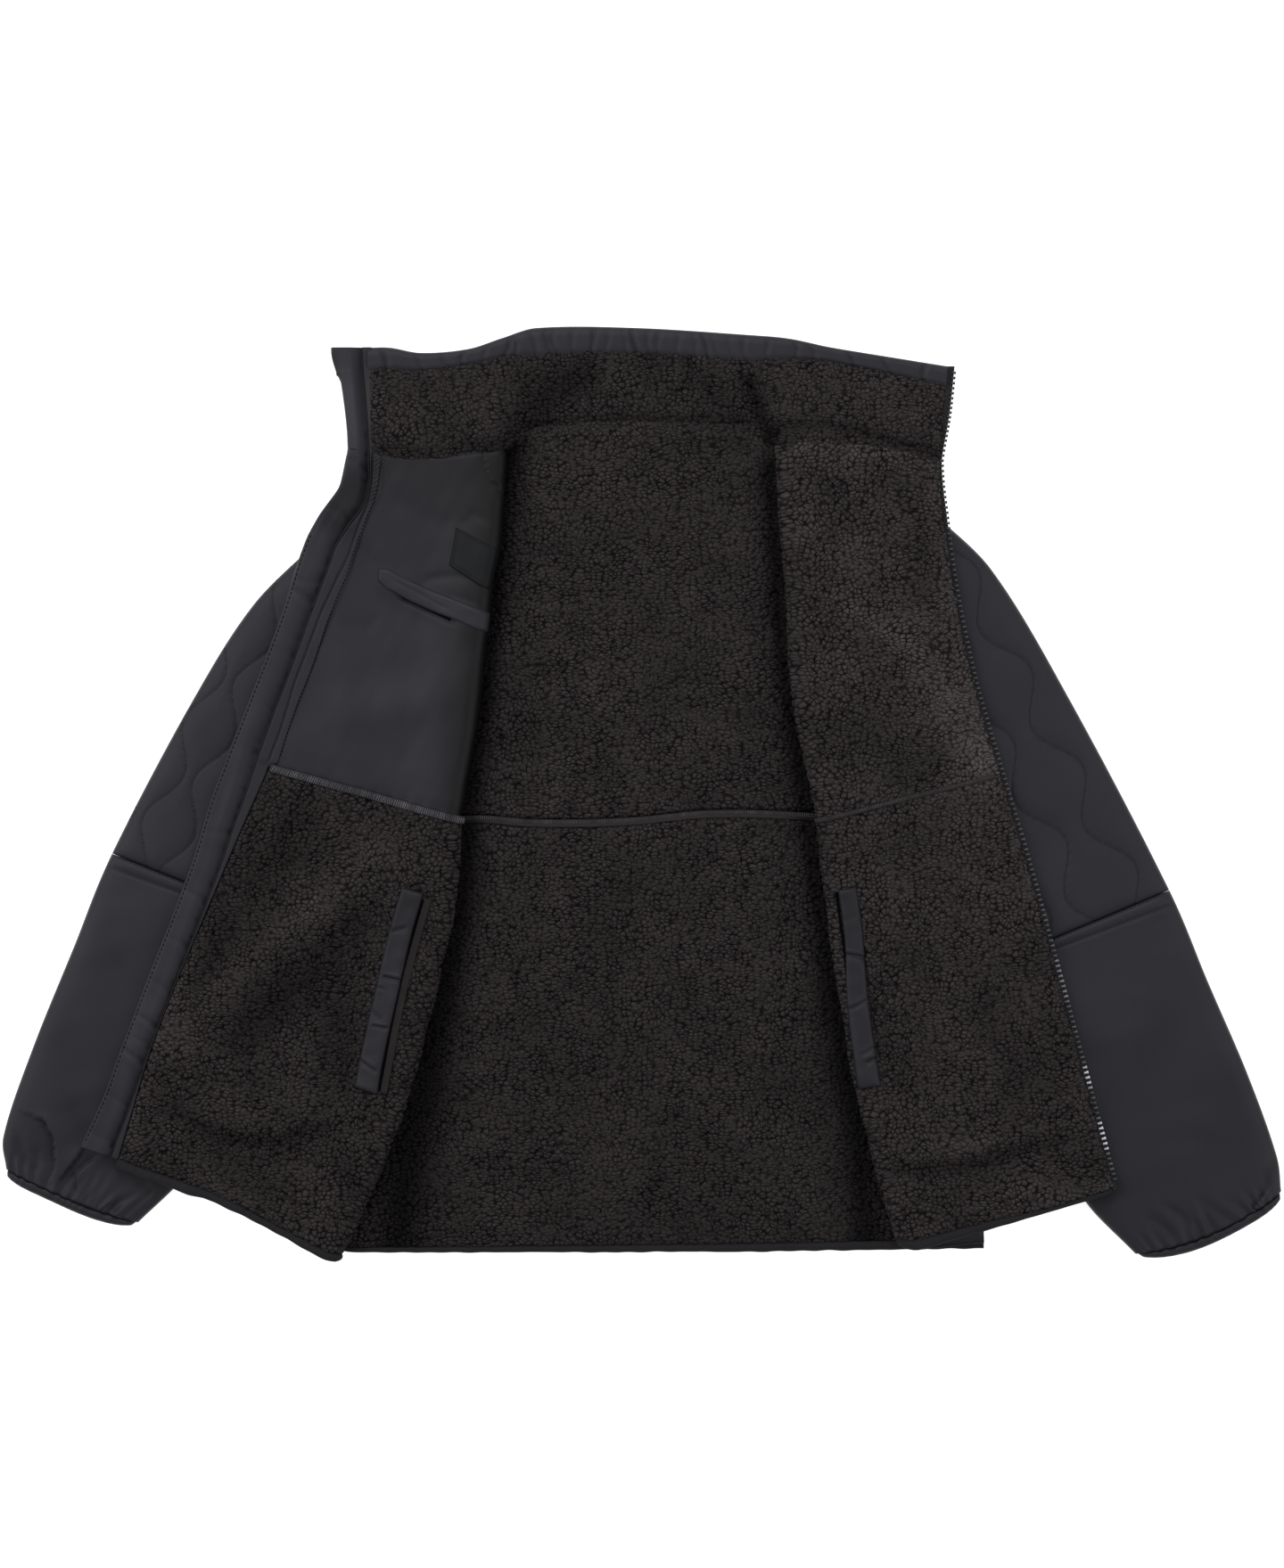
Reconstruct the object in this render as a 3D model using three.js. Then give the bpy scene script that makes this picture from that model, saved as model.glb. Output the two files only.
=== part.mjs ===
// Fleece-lined jacket laid flat on its back, both fronts turned open over the sleeves.
//
// Millimetres, +Z up. The jacket is seen from above with its hem toward -Y and its collar toward
// +Y. Left and right are the wearer's, so the right front lies on the -X side. Every body panel is
// one pair of cloths on a shared middle surface: the outer shell on one side, the lining on the
// other. A front starts at the side seam, runs inward over the back with its lining down, rolls
// over at the fold and comes back outward with its lining up.
import * as THREE from "three";

// ---- cloths and clearances ------------------------------------------------------------------
const SEAM = 0.3; // clearance between sewn pieces
const SHELL = 2.0; // outer cloth with the wadding pressed behind it
const PILE = 4.5; // fleece lining
const SHELL_IN = -SEAM / 2; // offsets from the middle surface, plus is the lining's side
const SHELL_OUT = SHELL_IN - SHELL;
const LINING_IN = SEAM / 2;
const LINING_OUT = LINING_IN + PILE;
const BOTH = [SHELL_OUT, LINING_OUT]; // through both cloths
const ON_LINING = LINING_OUT + SEAM; // where pieces sewn on the lining start

// ---- heights of the middle surfaces above the surface it lies on -----------------------------
const BACK_Z = -SHELL_OUT;
const UNDER_Z = BACK_Z + 2 * LINING_OUT + SEAM; // front under-part, lining down on the back
const OVER_Z = UNDER_Z - 2 * SHELL_OUT + SEAM; // turned-back part where it lies on the under-part
const SLEEVE_TOP = 18; // highest point of a flattened sleeve
const ON_SLEEVE_Z = SLEEVE_TOP + SEAM - SHELL_OUT; // turned-back part where it lies on a sleeve
const SIDE_RAMP = { start: 14, run: 26 }; // the climb onto the sleeve, inside the side seam

// ---- the roll at the fold ---------------------------------------------------------------------
const ROLL_R = 5.5; // radius of the middle surface
const ROLL_R_NECK = 3; // pinched at the shoulder seam
const ROLL_EASE = 48; // how far the turned-back cloth takes to settle beside the roll
const ROLL_STEPS = 6;
const FRONT_STEP = 52; // longest step between a front's rows
const NECK_PINCH = 90; // stretch below the neck over which the roll tightens

// ---- sewn-on pieces ----------------------------------------------------------------------------
const HEM_BINDING = { fronts: 5, back: [3, 7] }; // the back's widens toward the left side
const WELT = { rise: 3, edge: 1.4 };
const PATCH_T = 1.2;
const FACING_T = 3.2;
// The storm flap's top beside the zip and outside it, its slope up there, and its reach at the collar.
const FLAP = { under: -0.9, over: 1.6, slope: 1.5, middle: 0.55, collar: 31 };
const TAPE = { low: -0.6, shownLow: -1, high: 1, hidden: 3.6, shown: 6.5 };
const CUFF_BINDING = 8;

// ---- sleeves -----------------------------------------------------------------------------------
const SLEEVE = { wall: 6.8, slit: 1.2, cuffSlit: 3, edge: 6, round: 1.6, crown: 2.2 };
const PUFF = 3; // rise of the quilted bulges
// Wavy quilting lines run down the upper sleeve, each the mirror of the next. One line's middle goes
// through the point given, and swings outward most at `crest` beyond it.
const QUILT = {
  pitch: 40, wave: 85, swing: 13, groove: 7, lines: 5,
  right: { through: [-328, 76], crest: 17 },
  left: { through: [274, 110], crest: 29 },
};
const GATHER = { waves: 8, rise: 1.6, reach: 46 };

const PAINT = {
  shell: { color: 0x2d2e34, roughness: 0.55 },
  fleece: { color: 0x3d3534, roughness: 0.98 },
  binding: { color: 0x131315, roughness: 0.8 },
  tape: { color: 0x1a1a1d, roughness: 0.75 },
  patch: { color: 0x17181c, roughness: 0.7 },
};

// ---- pattern tables ----------------------------------------------------------------------------
// One row for each level of a front, from hem to neck: the side seam or armhole, the fold, the
// lining's free edge, how far that level bows toward the neck between fold and edge, then the
// facing's width and the storm flap's reach beyond the edge.
const RIGHT_FRONT = [
  { at: "hem", side: [-277, -313], fold: [-229, -356], edge: [-399, -279], bow: 6, facing: 3, flap: 26 },
  { at: "pocketLow", side: [-265, -221], fold: [-180, -237], edge: [-367, -177], facing: 4, flap: 22 },
  { at: "pocketHigh", side: [-245, -82], fold: [-142, -82], edge: [-309, -37], facing: 7, flap: 24 },
  { at: "seam", side: [-241, -27], fold: [-137, -21], edge: [-284, 20], facing: 10, flap: 30 },
  { at: "chest", side: [-242, 27], fold: [-126, 51], edge: [-255, 90], facing: 11, flap: 33 },
  { at: "weltLow", side: [-243.5, 82], fold: [-118, 120], edge: [-226, 170], facing: 13, flap: 37 },
  { at: "weltHigh", side: [-244, 97], fold: [-116, 136], edge: [-222, 184], facing: 13, flap: 36 },
  { at: "patchLow", side: [-244.4, 119], fold: [-114, 156], edge: [-216, 201], facing: 10, flap: 35 },
  { at: "patchHigh", side: [-245, 146], fold: [-108, 187], edge: [-206, 224], facing: 4, flap: 27 },
  { at: "neck", side: [-246, 194], fold: [-103, 265], edge: [-204, 260], bow: -4, facing: 3, flap: 20 },
];
const LEFT_FRONT = [
  { at: "hem", side: [261, -341], fold: [196, -350], edge: [357, -303] },
  { at: "pocketLow", side: [256, -224], fold: [163, -226], edge: [330, -201] },
  { at: "pocketHigh", side: [242, -82], fold: [139, -77], edge: [289, -49] },
  { at: "seam", side: [235, -27], fold: [133, -21], edge: [270, 14] },
  { at: "chest", side: [230.4, 48], fold: [116, 65], edge: [247, 95] },
  { at: "shoulder", side: [225, 136], fold: [107, 184], edge: [230, 189] },
  { at: "neck", side: [220, 216], fold: [101, 269], edge: [227, 254], bow: 6 },
];
// A front's columns: shares of its under-part, then distances past the roll's centre, then shares of
// what is left up to the free edge.
const UNDER_SHARES = [0, 0.35, 0.7, 1];
const RIGHT_COLUMNS = { marks: [11, 30, 50, 71], shares: [0.34, 0.67, 1] };
const LEFT_COLUMNS = { marks: [14, 34, 62], shares: [0.34, 0.67, 1] };

// The back between the two side seams, from the right side to the left.
const BACK = {
  hem: [[-277, -313], [-252, -337], [-229, -347], [-204, -348], [-82, -347], [88, -345], [261, -341]],
  seam: [[-241, -27], [-129, -18], [-82, -21], [-14, -20], [54, -14], [126, -16], [235, -27]],
  top: [[-246, 194], [-103, 265], [-86, 274], [-54, 279], [-3, 281], [54, 279], [86, 277],
    [101, 269], [220, 216]],
  across: [0, 0.1, 0.2, 0.307, 0.34, 0.42, 0.52, 0.62, 0.71, 0.745, 0.83, 0.92, 1],
  neck: [4, 9], // the columns between the two neck points
  lowerRows: [0, 0.2, 0.4, 0.6, 0.8, 1],
  upperRows: [0, 0.25, 0.5, 0.75, 1],
};
// The collar's free edge and the width of the shell's rim turned over it.
const COLLAR = [
  { x: -207, top: 339, rim: 18 },
  { x: -167, top: 335, rim: 13 },
  { x: -131, top: 336, rim: 10 },
  { x: -105, top: 346, rim: 13 },
  { x: -80, top: 354, rim: 21 },
  { x: -3, top: 354, rim: 19 },
  { x: 82, top: 348, rim: 18 },
  { x: 109, top: 345, rim: 14 },
  { x: 139, top: 339, rim: 9 },
  { x: 180, top: 332, rim: 11 },
  { x: 231, top: 322, rim: 13 },
];
const COLLAR_ROWS = [0, 0.2, 0.45, 0.7, 1]; // shares of the height from the neck seam to the rim
const RIM_ROWS = [0.04, 0.5, 1]; // shares of the rim: a steep step up beside the pile, then level
const RIM_DROP = 0.6; // the rim stays this much lower than the pile
const RIM_GATHER = { step: 14, rise: 0.9, half: 150 }; // small gathers round the back of the neck
const COLLAR_LEAN = { right: 0.015, left: 0.03 }; // how its ends lean out, as a share of x
const COLLAR_SETTLE = 0.85; // share of its height over which a raised end sinks to the surface

// Sections across a sleeve from armhole to cuff: the outer and inner edge, and the height there.
const RIGHT_SLEEVE = [
  { outer: [-246.7, 194], inner: [-241.7, -27], high: 15 },
  { outer: [-292, 143], inner: [-247, -46], high: 15 },
  { outer: [-339, 68], inner: [-254, -72], high: 15 },
  { outer: [-403, -46], inner: [-258, -104], high: 14 },
  { outer: [-430, -117], inner: [-280, -163], high: 16 },
  { outer: [-459, -196], inner: [-314, -228], high: 16 },
  { outer: [-481, -264], inner: [-349, -292], high: 15 },
  { outer: [-483, -284], inner: [-384, -327], high: 13 },
];
const LEFT_SLEEVE = [
  { outer: [220.7, 216], inner: [235.7, -27], high: 15 },
  { outer: [265, 169], inner: [241, -46], high: 15 },
  { outer: [320, 73], inner: [249, -80], high: 15 },
  { outer: [399, -74], inner: [254, -136], high: 14 },
  { outer: [430, -143], inner: [277, -187], high: 16 },
  { outer: [462, -214], inner: [306, -245], high: 16 },
  { outer: [484, -279], inner: [341, -311], high: 15 },
  { outer: [486, -307], inner: [384, -350], high: 13 },
];
const ELBOW_ROW = 3;

// The large soft folds that stand up in the turned-back fronts: a line, a height and a width.
const FOLDS = [
  { from: [-197, -75], to: [-354, -197], rise: 5, wide: 30 },
  { from: [-320, -252], to: [-258, -264], rise: 3.5, wide: 14 },
  { from: [177, -284], to: [320, -262], rise: 3.5, wide: 16 },
  { from: [160, -150], to: [215, -60], rise: 2.5, wide: 26 },
  { from: [170, 60], to: [200, 190], rise: 2.5, wide: 24 },
  { from: [-150, 70], to: [-225, 60], rise: 2.5, wide: 18 },
];

// ---- small helpers -------------------------------------------------------------------------------
const V = (x, y, z = 0) => new THREE.Vector3(x, y, z);
const flat = ([x, y]) => V(x, y);
const mix = THREE.MathUtils.lerp;
const ease = (t) => THREE.MathUtils.smoothstep(t, 0, 1);

// How far along a chain of points each of them lies.
function lengths(points) {
  let soFar = 0;
  return points.map((p, i) => {
    soFar += i ? p.distanceTo(points[i - 1]) : 0;
    return soFar;
  });
}

// Smooth curve through values given at growing places.
function track(places, values) {
  const slope = values.map((_, i) => {
    const a = Math.max(i - 1, 0);
    const b = Math.min(i + 1, values.length - 1);
    return (values[b] - values[a]) / (places[b] - places[a]);
  });
  return (s) => {
    let i = 0;
    while (i < places.length - 2 && s > places[i + 1]) i += 1;
    const span = places[i + 1] - places[i];
    const t = THREE.MathUtils.clamp((s - places[i]) / span, 0, 1);
    const end = ease(t);
    const leave = t * (1 - t) ** 2 * span * slope[i];
    const arrive = t * t * (t - 1) * span * slope[i + 1];
    return mix(values[i], values[i + 1], end) + leave + arrive;
  };
}

// The same for plan points.
function trackPoints(places, points) {
  const x = track(places, points.map((p) => p[0]));
  const y = track(places, points.map((p) => p[1]));
  return (s) => V(x(s), y(s));
}

// Straight-line look-up in a list of [place, value].
function lookUp(pairs, at) {
  let i = 0;
  while (i < pairs.length - 2 && at > pairs[i + 1][0]) i += 1;
  const [a, b] = [pairs[i], pairs[i + 1]];
  const t = THREE.MathUtils.clamp((at - a[0]) / (b[0] - a[0]), 0, 1);
  return mix(a[1], b[1], t);
}

// Places along a track: every table row, with steps no longer than `step` between them.
function subdivide(places, step) {
  const out = [places[0]];
  for (let i = 1; i < places.length; i += 1) {
    const n = Math.ceil((places[i] - places[i - 1]) / step);
    for (let k = 1; k <= n; k += 1) out.push(mix(places[i - 1], places[i], k / n));
  }
  return out;
}

// Replaces one place by two, a seam's clearance apart.
function splitAt(places, seam) {
  return places.flatMap((s) => (s === seam ? [s - SEAM / 2, s + SEAM / 2] : [s]));
}

// ---- solids ----------------------------------------------------------------------------------------
function closedMesh(name, points, faces, paint) {
  const geometry = new THREE.BufferGeometry();
  geometry.setAttribute("position", new THREE.Float32BufferAttribute(points.flatMap((p) => p.toArray()), 3));
  const volume = faces.reduce(
    (sum, [a, b, c]) => sum + points[a].dot(points[b].clone().cross(points[c])),
    0,
  );
  geometry.setIndex(faces.flatMap(([a, b, c]) => (volume > 0 ? [a, b, c] : [a, c, b])));
  geometry.computeVertexNormals();
  const mesh = new THREE.Mesh(geometry, new THREE.MeshStandardMaterial({ ...PAINT[paint], metalness: 0 }));
  mesh.name = name;
  return mesh;
}

// Unit normals of a grid of points (rows of columns).
function gridNormals(grid) {
  const pick = (list, i) => list[Math.min(Math.max(i, 0), list.length - 1)];
  return grid.map((row, r) => row.map((_, c) => {
    const across = pick(row, c + 1).clone().sub(pick(row, c - 1));
    const along = pick(grid, r + 1)[c].clone().sub(pick(grid, r - 1)[c]);
    return across.cross(along).normalize();
  }));
}

// A panel of the middle surface: points and normals, cut to ranges of rows and columns.
function panel(grid, normals) {
  return { grid, normals };
}
function cut({ grid, normals }, [r0, r1], [c0, c1]) {
  const trim = (g) => g.slice(r0, r1 + 1).map((row) => row.slice(c0, c1 + 1));
  return panel(trim(grid), trim(normals));
}

// Closed wall between two offsets of a panel. An offset is a number or a function of row, column.
function wall(name, { grid, normals }, low, high, paint) {
  const rows = grid.length;
  const cols = grid[0].length;
  const lift = (off) => grid.flatMap((row, r) => row.map((p, c) => {
    const d = typeof off === "function" ? off(r, c) : off;
    return p.clone().addScaledVector(normals[r][c], d);
  }));
  const points = [...lift(low), ...lift(high)];
  const at = (r, c, top) => r * cols + c + (top ? rows * cols : 0);
  const faces = [];
  const quad = (a, b, c, d) => faces.push([a, b, c], [a, c, d]);
  for (let r = 0; r < rows - 1; r += 1) {
    for (let c = 0; c < cols - 1; c += 1) {
      quad(at(r, c, 1), at(r, c + 1, 1), at(r + 1, c + 1, 1), at(r + 1, c, 1));
      faces.push([at(r, c, 0), at(r + 1, c + 1, 0), at(r, c + 1, 0)]);
      faces.push([at(r, c, 0), at(r + 1, c, 0), at(r + 1, c + 1, 0)]);
    }
  }
  for (let c = 0; c < cols - 1; c += 1) {
    quad(at(0, c, 0), at(0, c + 1, 0), at(0, c + 1, 1), at(0, c, 1));
    quad(at(rows - 1, c + 1, 0), at(rows - 1, c, 0), at(rows - 1, c, 1), at(rows - 1, c + 1, 1));
  }
  for (let r = 0; r < rows - 1; r += 1) {
    quad(at(r + 1, 0, 0), at(r, 0, 0), at(r, 0, 1), at(r + 1, 0, 1));
    quad(at(r, cols - 1, 0), at(r + 1, cols - 1, 0), at(r + 1, cols - 1, 1), at(r, cols - 1, 1));
  }
  return closedMesh(name, points, faces, paint);
}

// Open-ended tube between outer and inner rings, the same number of points in each.
function tube(name, outer, inner, paint) {
  const n = outer[0].length;
  const points = [...outer.flat(), ...inner.flat()];
  const out = (r, k) => r * n + (k % n);
  const inn = (r, k) => outer.length * n + r * n + (k % n);
  const faces = [];
  const quad = (a, b, c, d) => faces.push([a, b, c], [a, c, d]);
  for (let k = 0; k < n; k += 1) {
    for (let r = 0; r < outer.length - 1; r += 1) {
      quad(out(r, k), out(r, k + 1), out(r + 1, k + 1), out(r + 1, k));
    }
    for (let r = 0; r < inner.length - 1; r += 1) {
      quad(inn(r, k + 1), inn(r, k), inn(r + 1, k), inn(r + 1, k + 1));
    }
    const [lo, li] = [outer.length - 1, inner.length - 1];
    quad(out(0, k + 1), out(0, k), inn(0, k), inn(0, k + 1));
    quad(out(lo, k), out(lo, k + 1), inn(li, k + 1), inn(li, k));
  }
  return closedMesh(name, points, faces, paint);
}

// ---- a front -----------------------------------------------------------------------------------------
// Height that the large folds add at a plan point.
function foldRise(p) {
  return FOLDS.reduce((sum, { from, to, rise, wide }) => {
    const line = new THREE.Line3(flat(from), flat(to));
    const near = line.closestPointToPoint(V(p.x, p.y), true, V(0, 0));
    const d = near.distanceTo(V(p.x, p.y));
    return sum + rise * Math.exp(-((d / wide) ** 2));
  }, 0);
}

function makeFront(table, columns) {
  const folds = table.map((row) => flat(row.fold));
  const places = lengths(folds);
  const side = trackPoints(places, table.map((row) => row.side));
  const fold = trackPoints(places, table.map((row) => row.fold));
  const edge = trackPoints(places, table.map((row) => row.edge));
  const bow = track(places, table.map((row) => row.bow ?? 0));
  const length = places[places.length - 1];
  const sideByY = table.map((row) => [row.side[1], row.side[0]]);
  const sign = Math.sign(table[0].side[0]);

  const overHeight = (p, past, lift) => {
    const inside = sign * (lookUp(sideByY, p.y) - p.x); // how far p lies inside the side seam
    const flatZ = mix(ON_SLEEVE_Z, OVER_Z, ease((inside - SIDE_RAMP.start) / SIDE_RAMP.run));
    const settled = ease(past / ROLL_EASE);
    return flatZ + Math.max(lift - flatZ, 0) * (1 - settled) + foldRise(p) * settled;
  };
  const point = (s, column) => {
    const [S, F, E] = [side(s), fold(s), edge(s)];
    const r = mix(ROLL_R_NECK, ROLL_R, ease((length - s) / NECK_PINCH));
    const out = E.clone().sub(F).normalize();
    const centre = F.clone().addScaledVector(out, r + LINING_OUT);
    if (column.under !== undefined) return S.lerp(centre, column.under).setZ(UNDER_Z);
    if (column.roll !== undefined) {
      const z = UNDER_Z + r * (1 - Math.cos(column.roll));
      return centre.addScaledVector(out, -r * Math.sin(column.roll)).setZ(z);
    }
    const last = columns.marks[columns.marks.length - 1];
    const reach = centre.distanceTo(E);
    const past = column.past ?? mix(last, reach, column.share);
    const p = centre.addScaledVector(out, past);
    p.y += bow(s) * Math.sin((Math.PI * past) / reach);
    return p.setZ(overHeight(p, past, UNDER_Z + 2 * r));
  };
  const profile = [
    ...UNDER_SHARES.map((under) => ({ under })),
    ...Array.from({ length: ROLL_STEPS }, (_, k) => ({ roll: ((k + 1) * Math.PI) / ROLL_STEPS })),
    ...columns.marks.map((past) => ({ past })),
    ...columns.shares.map((share) => ({ share })),
  ];
  const seam = places[table.findIndex((row) => row.at === "seam")];
  const rows = splitAt(subdivide(places, FRONT_STEP), seam);
  const grid = rows.map((s) => profile.map((column) => point(s, column)));
  // The lining lies below the under-part, so its side is the one that looks down there.
  const raw = gridNormals(grid);
  const turn = raw[1][1].z > 0 ? -1 : 1;
  const normals = raw.map((row) => row.map((n) => n.multiplyScalar(turn)));
  const seamRow = rows.findIndex((s) => s > seam) - 1;
  normals[seamRow + 1] = normals[seamRow]; // both sides of the seam stay parallel
  const rowAt = (name) => {
    const s = places[table.findIndex((row) => row.at === name)];
    return rows.reduce((best, place, i) => (Math.abs(place - s) < Math.abs(rows[best] - s) ? i : best), 0);
  };
  const firstOver = UNDER_SHARES.length + ROLL_STEPS - 1; // the column on top of the roll
  return {
    ...panel(grid, normals), rows, places, rowAt, firstOver, seamRow,
    settled: (p) => overHeight(p, ROLL_EASE, OVER_Z),
    lastRow: rows.length - 1,
    lastCol: profile.length - 1,
  };
}

// The panel's edge row carried on beyond the cloth, for what is sewn along it.
function beyond({ grid, normals }, width) {
  const [first, second] = grid;
  const out = first.map((p, c) => p.clone().sub(second[c]).normalize());
  const rowAt = (far) => first.map((p, c) => p.clone().addScaledVector(out[c], far(c)));
  return panel([rowAt(() => SEAM), rowAt(width)], [normals[0], normals[0]]);
}

// ---- the back ------------------------------------------------------------------------------------------
function makeBack() {
  const byShare = (line) => {
    const [a, b] = [line[0][0], line[line.length - 1][0]];
    return line.map(([x, y]) => [(x - a) / (b - a), y]);
  };
  const along = (line, u) => V(mix(line[0][0], line[line.length - 1][0], u), lookUp(byShare(line), u));
  const between = (low, high, fronts, shares) => shares.map((w) => BACK.across.map((u) => {
    const p = along(low, u).lerp(along(high, u), w);
    // The two ends follow the side seams, which aren't straight.
    [1 - u, u].forEach((weight, k) => {
      const straight = flat(low.at(-k)).lerp(flat(high.at(-k)), w);
      p.x += weight * (lookUp(fronts[k], straight.y) - straight.x);
    });
    return p.setZ(BACK_Z);
  }));
  const sides = [RIGHT_FRONT, LEFT_FRONT].map((table) => table.map((row) => [row.side[1], row.side[0]]));
  const lower = between(BACK.hem, BACK.seam, sides, BACK.lowerRows);
  const upper = between(BACK.seam, BACK.top, sides, BACK.upperRows);
  const up = V(0, 0, 1);
  const dress = (grid) => panel(grid, grid.map((row) => row.map(() => up.clone())));
  upper[0].forEach((p) => p.setY(p.y + SEAM));
  return { whole: dress([...lower, ...upper]), lower: dress(lower), upper: dress(upper) };
}

// ---- the collar ----------------------------------------------------------------------------------------
function makeCollar(right, left, back) {
  const neckOf = (front) => {
    const row = front.grid[front.lastRow];
    return row.slice(front.firstOver);
  };
  const backNeck = back.whole.grid.at(-1).slice(...BACK.neck);
  const corners = [...neckOf(right).reverse(), ...backNeck, ...neckOf(left)];
  const seam = corners.flatMap((p, i) => {
    if (i === 0) return [p.clone()];
    const n = Math.ceil(p.distanceTo(corners[i - 1]) / RIM_GATHER.step);
    return Array.from({ length: n }, (_, k) => corners[i - 1].clone().lerp(p, (k + 1) / n));
  });
  seam.forEach((p) => p.setY(p.y + SEAM));
  const tops = COLLAR.map(({ x, top }) => [x, top]);
  const rims = COLLAR.map(({ x, rim }) => [x, rim]);
  // A share up to 1 runs from the neck seam to the rim, and from 1 to 2 across the rim.
  const columnAt = (p, share) => {
    const lean = p.x < 0 ? COLLAR_LEAN.right : COLLAR_LEAN.left;
    const end = V(p.x * (1 + lean), lookUp(tops, p.x));
    const rim = lookUp(rims, p.x);
    const height = end.y - p.y;
    const t = share <= 1 ? (share * (height - rim)) / height : (height - rim + (share - 1) * rim) / height;
    const q = V(p.x, p.y).lerp(end, t);
    return q.setZ(mix(p.z, BACK_Z, ease(t / COLLAR_SETTLE)));
  };
  const shares = [...COLLAR_ROWS, ...RIM_ROWS.map((share) => 1 + share)];
  const grid = shares.map((share) => seam.map((p) => columnAt(p, share)));
  const normals = gridNormals(grid).map((row) => row.map((n) => (n.z < 0 ? n.negate() : n)));
  const rimRow = COLLAR_ROWS.length - 1;
  normals[0] = normals[0].map(() => V(0, 0, 1)); // upright beside the neck edges
  normals[rimRow + 1] = normals[rimRow];
  return { ...panel(grid, normals), rimRow, lastRow: shares.length - 1, lastCol: seam.length - 1 };
}

// ---- strips beside a free edge ---------------------------------------------------------------------
// Stations up a front's edge and on up the collar's end: a point, the way out, facing and flap.
function edgeStations(front, collar, table, collarCol) {
  const names = front.places;
  const onFront = front.rows.map((s, r) => {
    const row = front.grid[r];
    const p = row[front.lastCol];
    const out = p.clone().sub(row[front.lastCol - 1]).setZ(0).normalize();
    const value = (key) => lookUp(names.map((place, i) => [place, table[i][key] ?? 0]), s);
    return { p, out, facing: value("facing"), flap: value("flap"), height: front.settled };
  });
  const top = onFront[onFront.length - 1];
  const sign = Math.sign(top.p.x);
  const onCollar = collar.grid.slice(1).map((row, i) => {
    const t = (i + 1) / (collar.grid.length - 1);
    return {
      p: row[collarCol],
      out: V(sign, 0, 0),
      facing: top.facing,
      flap: mix(top.flap, FLAP.collar, ease(t)),
      height: (q) => q.z,
    };
  });
  return [...onFront, ...onCollar];
}

function strip(stations, distances) {
  const grid = stations.map((st) => distances.map((d) => {
    const p = st.p.clone().addScaledVector(st.out, d(st));
    return p.setZ(st.height(p));
  }));
  const normals = gridNormals(grid).map((row) => row.map((n) => (n.z < 0 ? n.negate() : n)));
  return panel(grid, normals);
}

// ---- a sleeve ------------------------------------------------------------------------------------------
const TOP_POINTS = { upper: 25, lower: 17 };
const SLEEVE_STEP = 15;
const QUILT_STEP = 8;

// Rise of the quilted bulges at a plan point of a sleeve: nothing on the stitch lines.
function quiltRise(p, table, side) {
  const { pitch, wave, swing, groove, lines } = QUILT;
  const { through, crest } = QUILT[side];
  const axis = flat(table[ELBOW_ROW].outer).sub(flat(table[0].outer)).normalize();
  const away = V(p.x, p.y).sub(flat(through));
  const turn = (2 * Math.PI * (away.dot(axis) - crest)) / wave;
  const aside = Math.sign(axis.x) * away.dot(V(-axis.y, axis.x));
  const slope = ((2 * Math.PI * swing) / wave) * Math.sin(turn);
  const gaps = Array.from({ length: 2 * lines + 1 }, (_, i) => {
    const k = i - lines;
    const middle = k * pitch + (k % 2 ? -swing : swing) * Math.cos(turn);
    return Math.abs(aside - middle) / Math.hypot(1, slope);
  });
  return PUFF * (1 - Math.exp(-((Math.min(...gaps) / groove) ** 2)));
}

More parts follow.
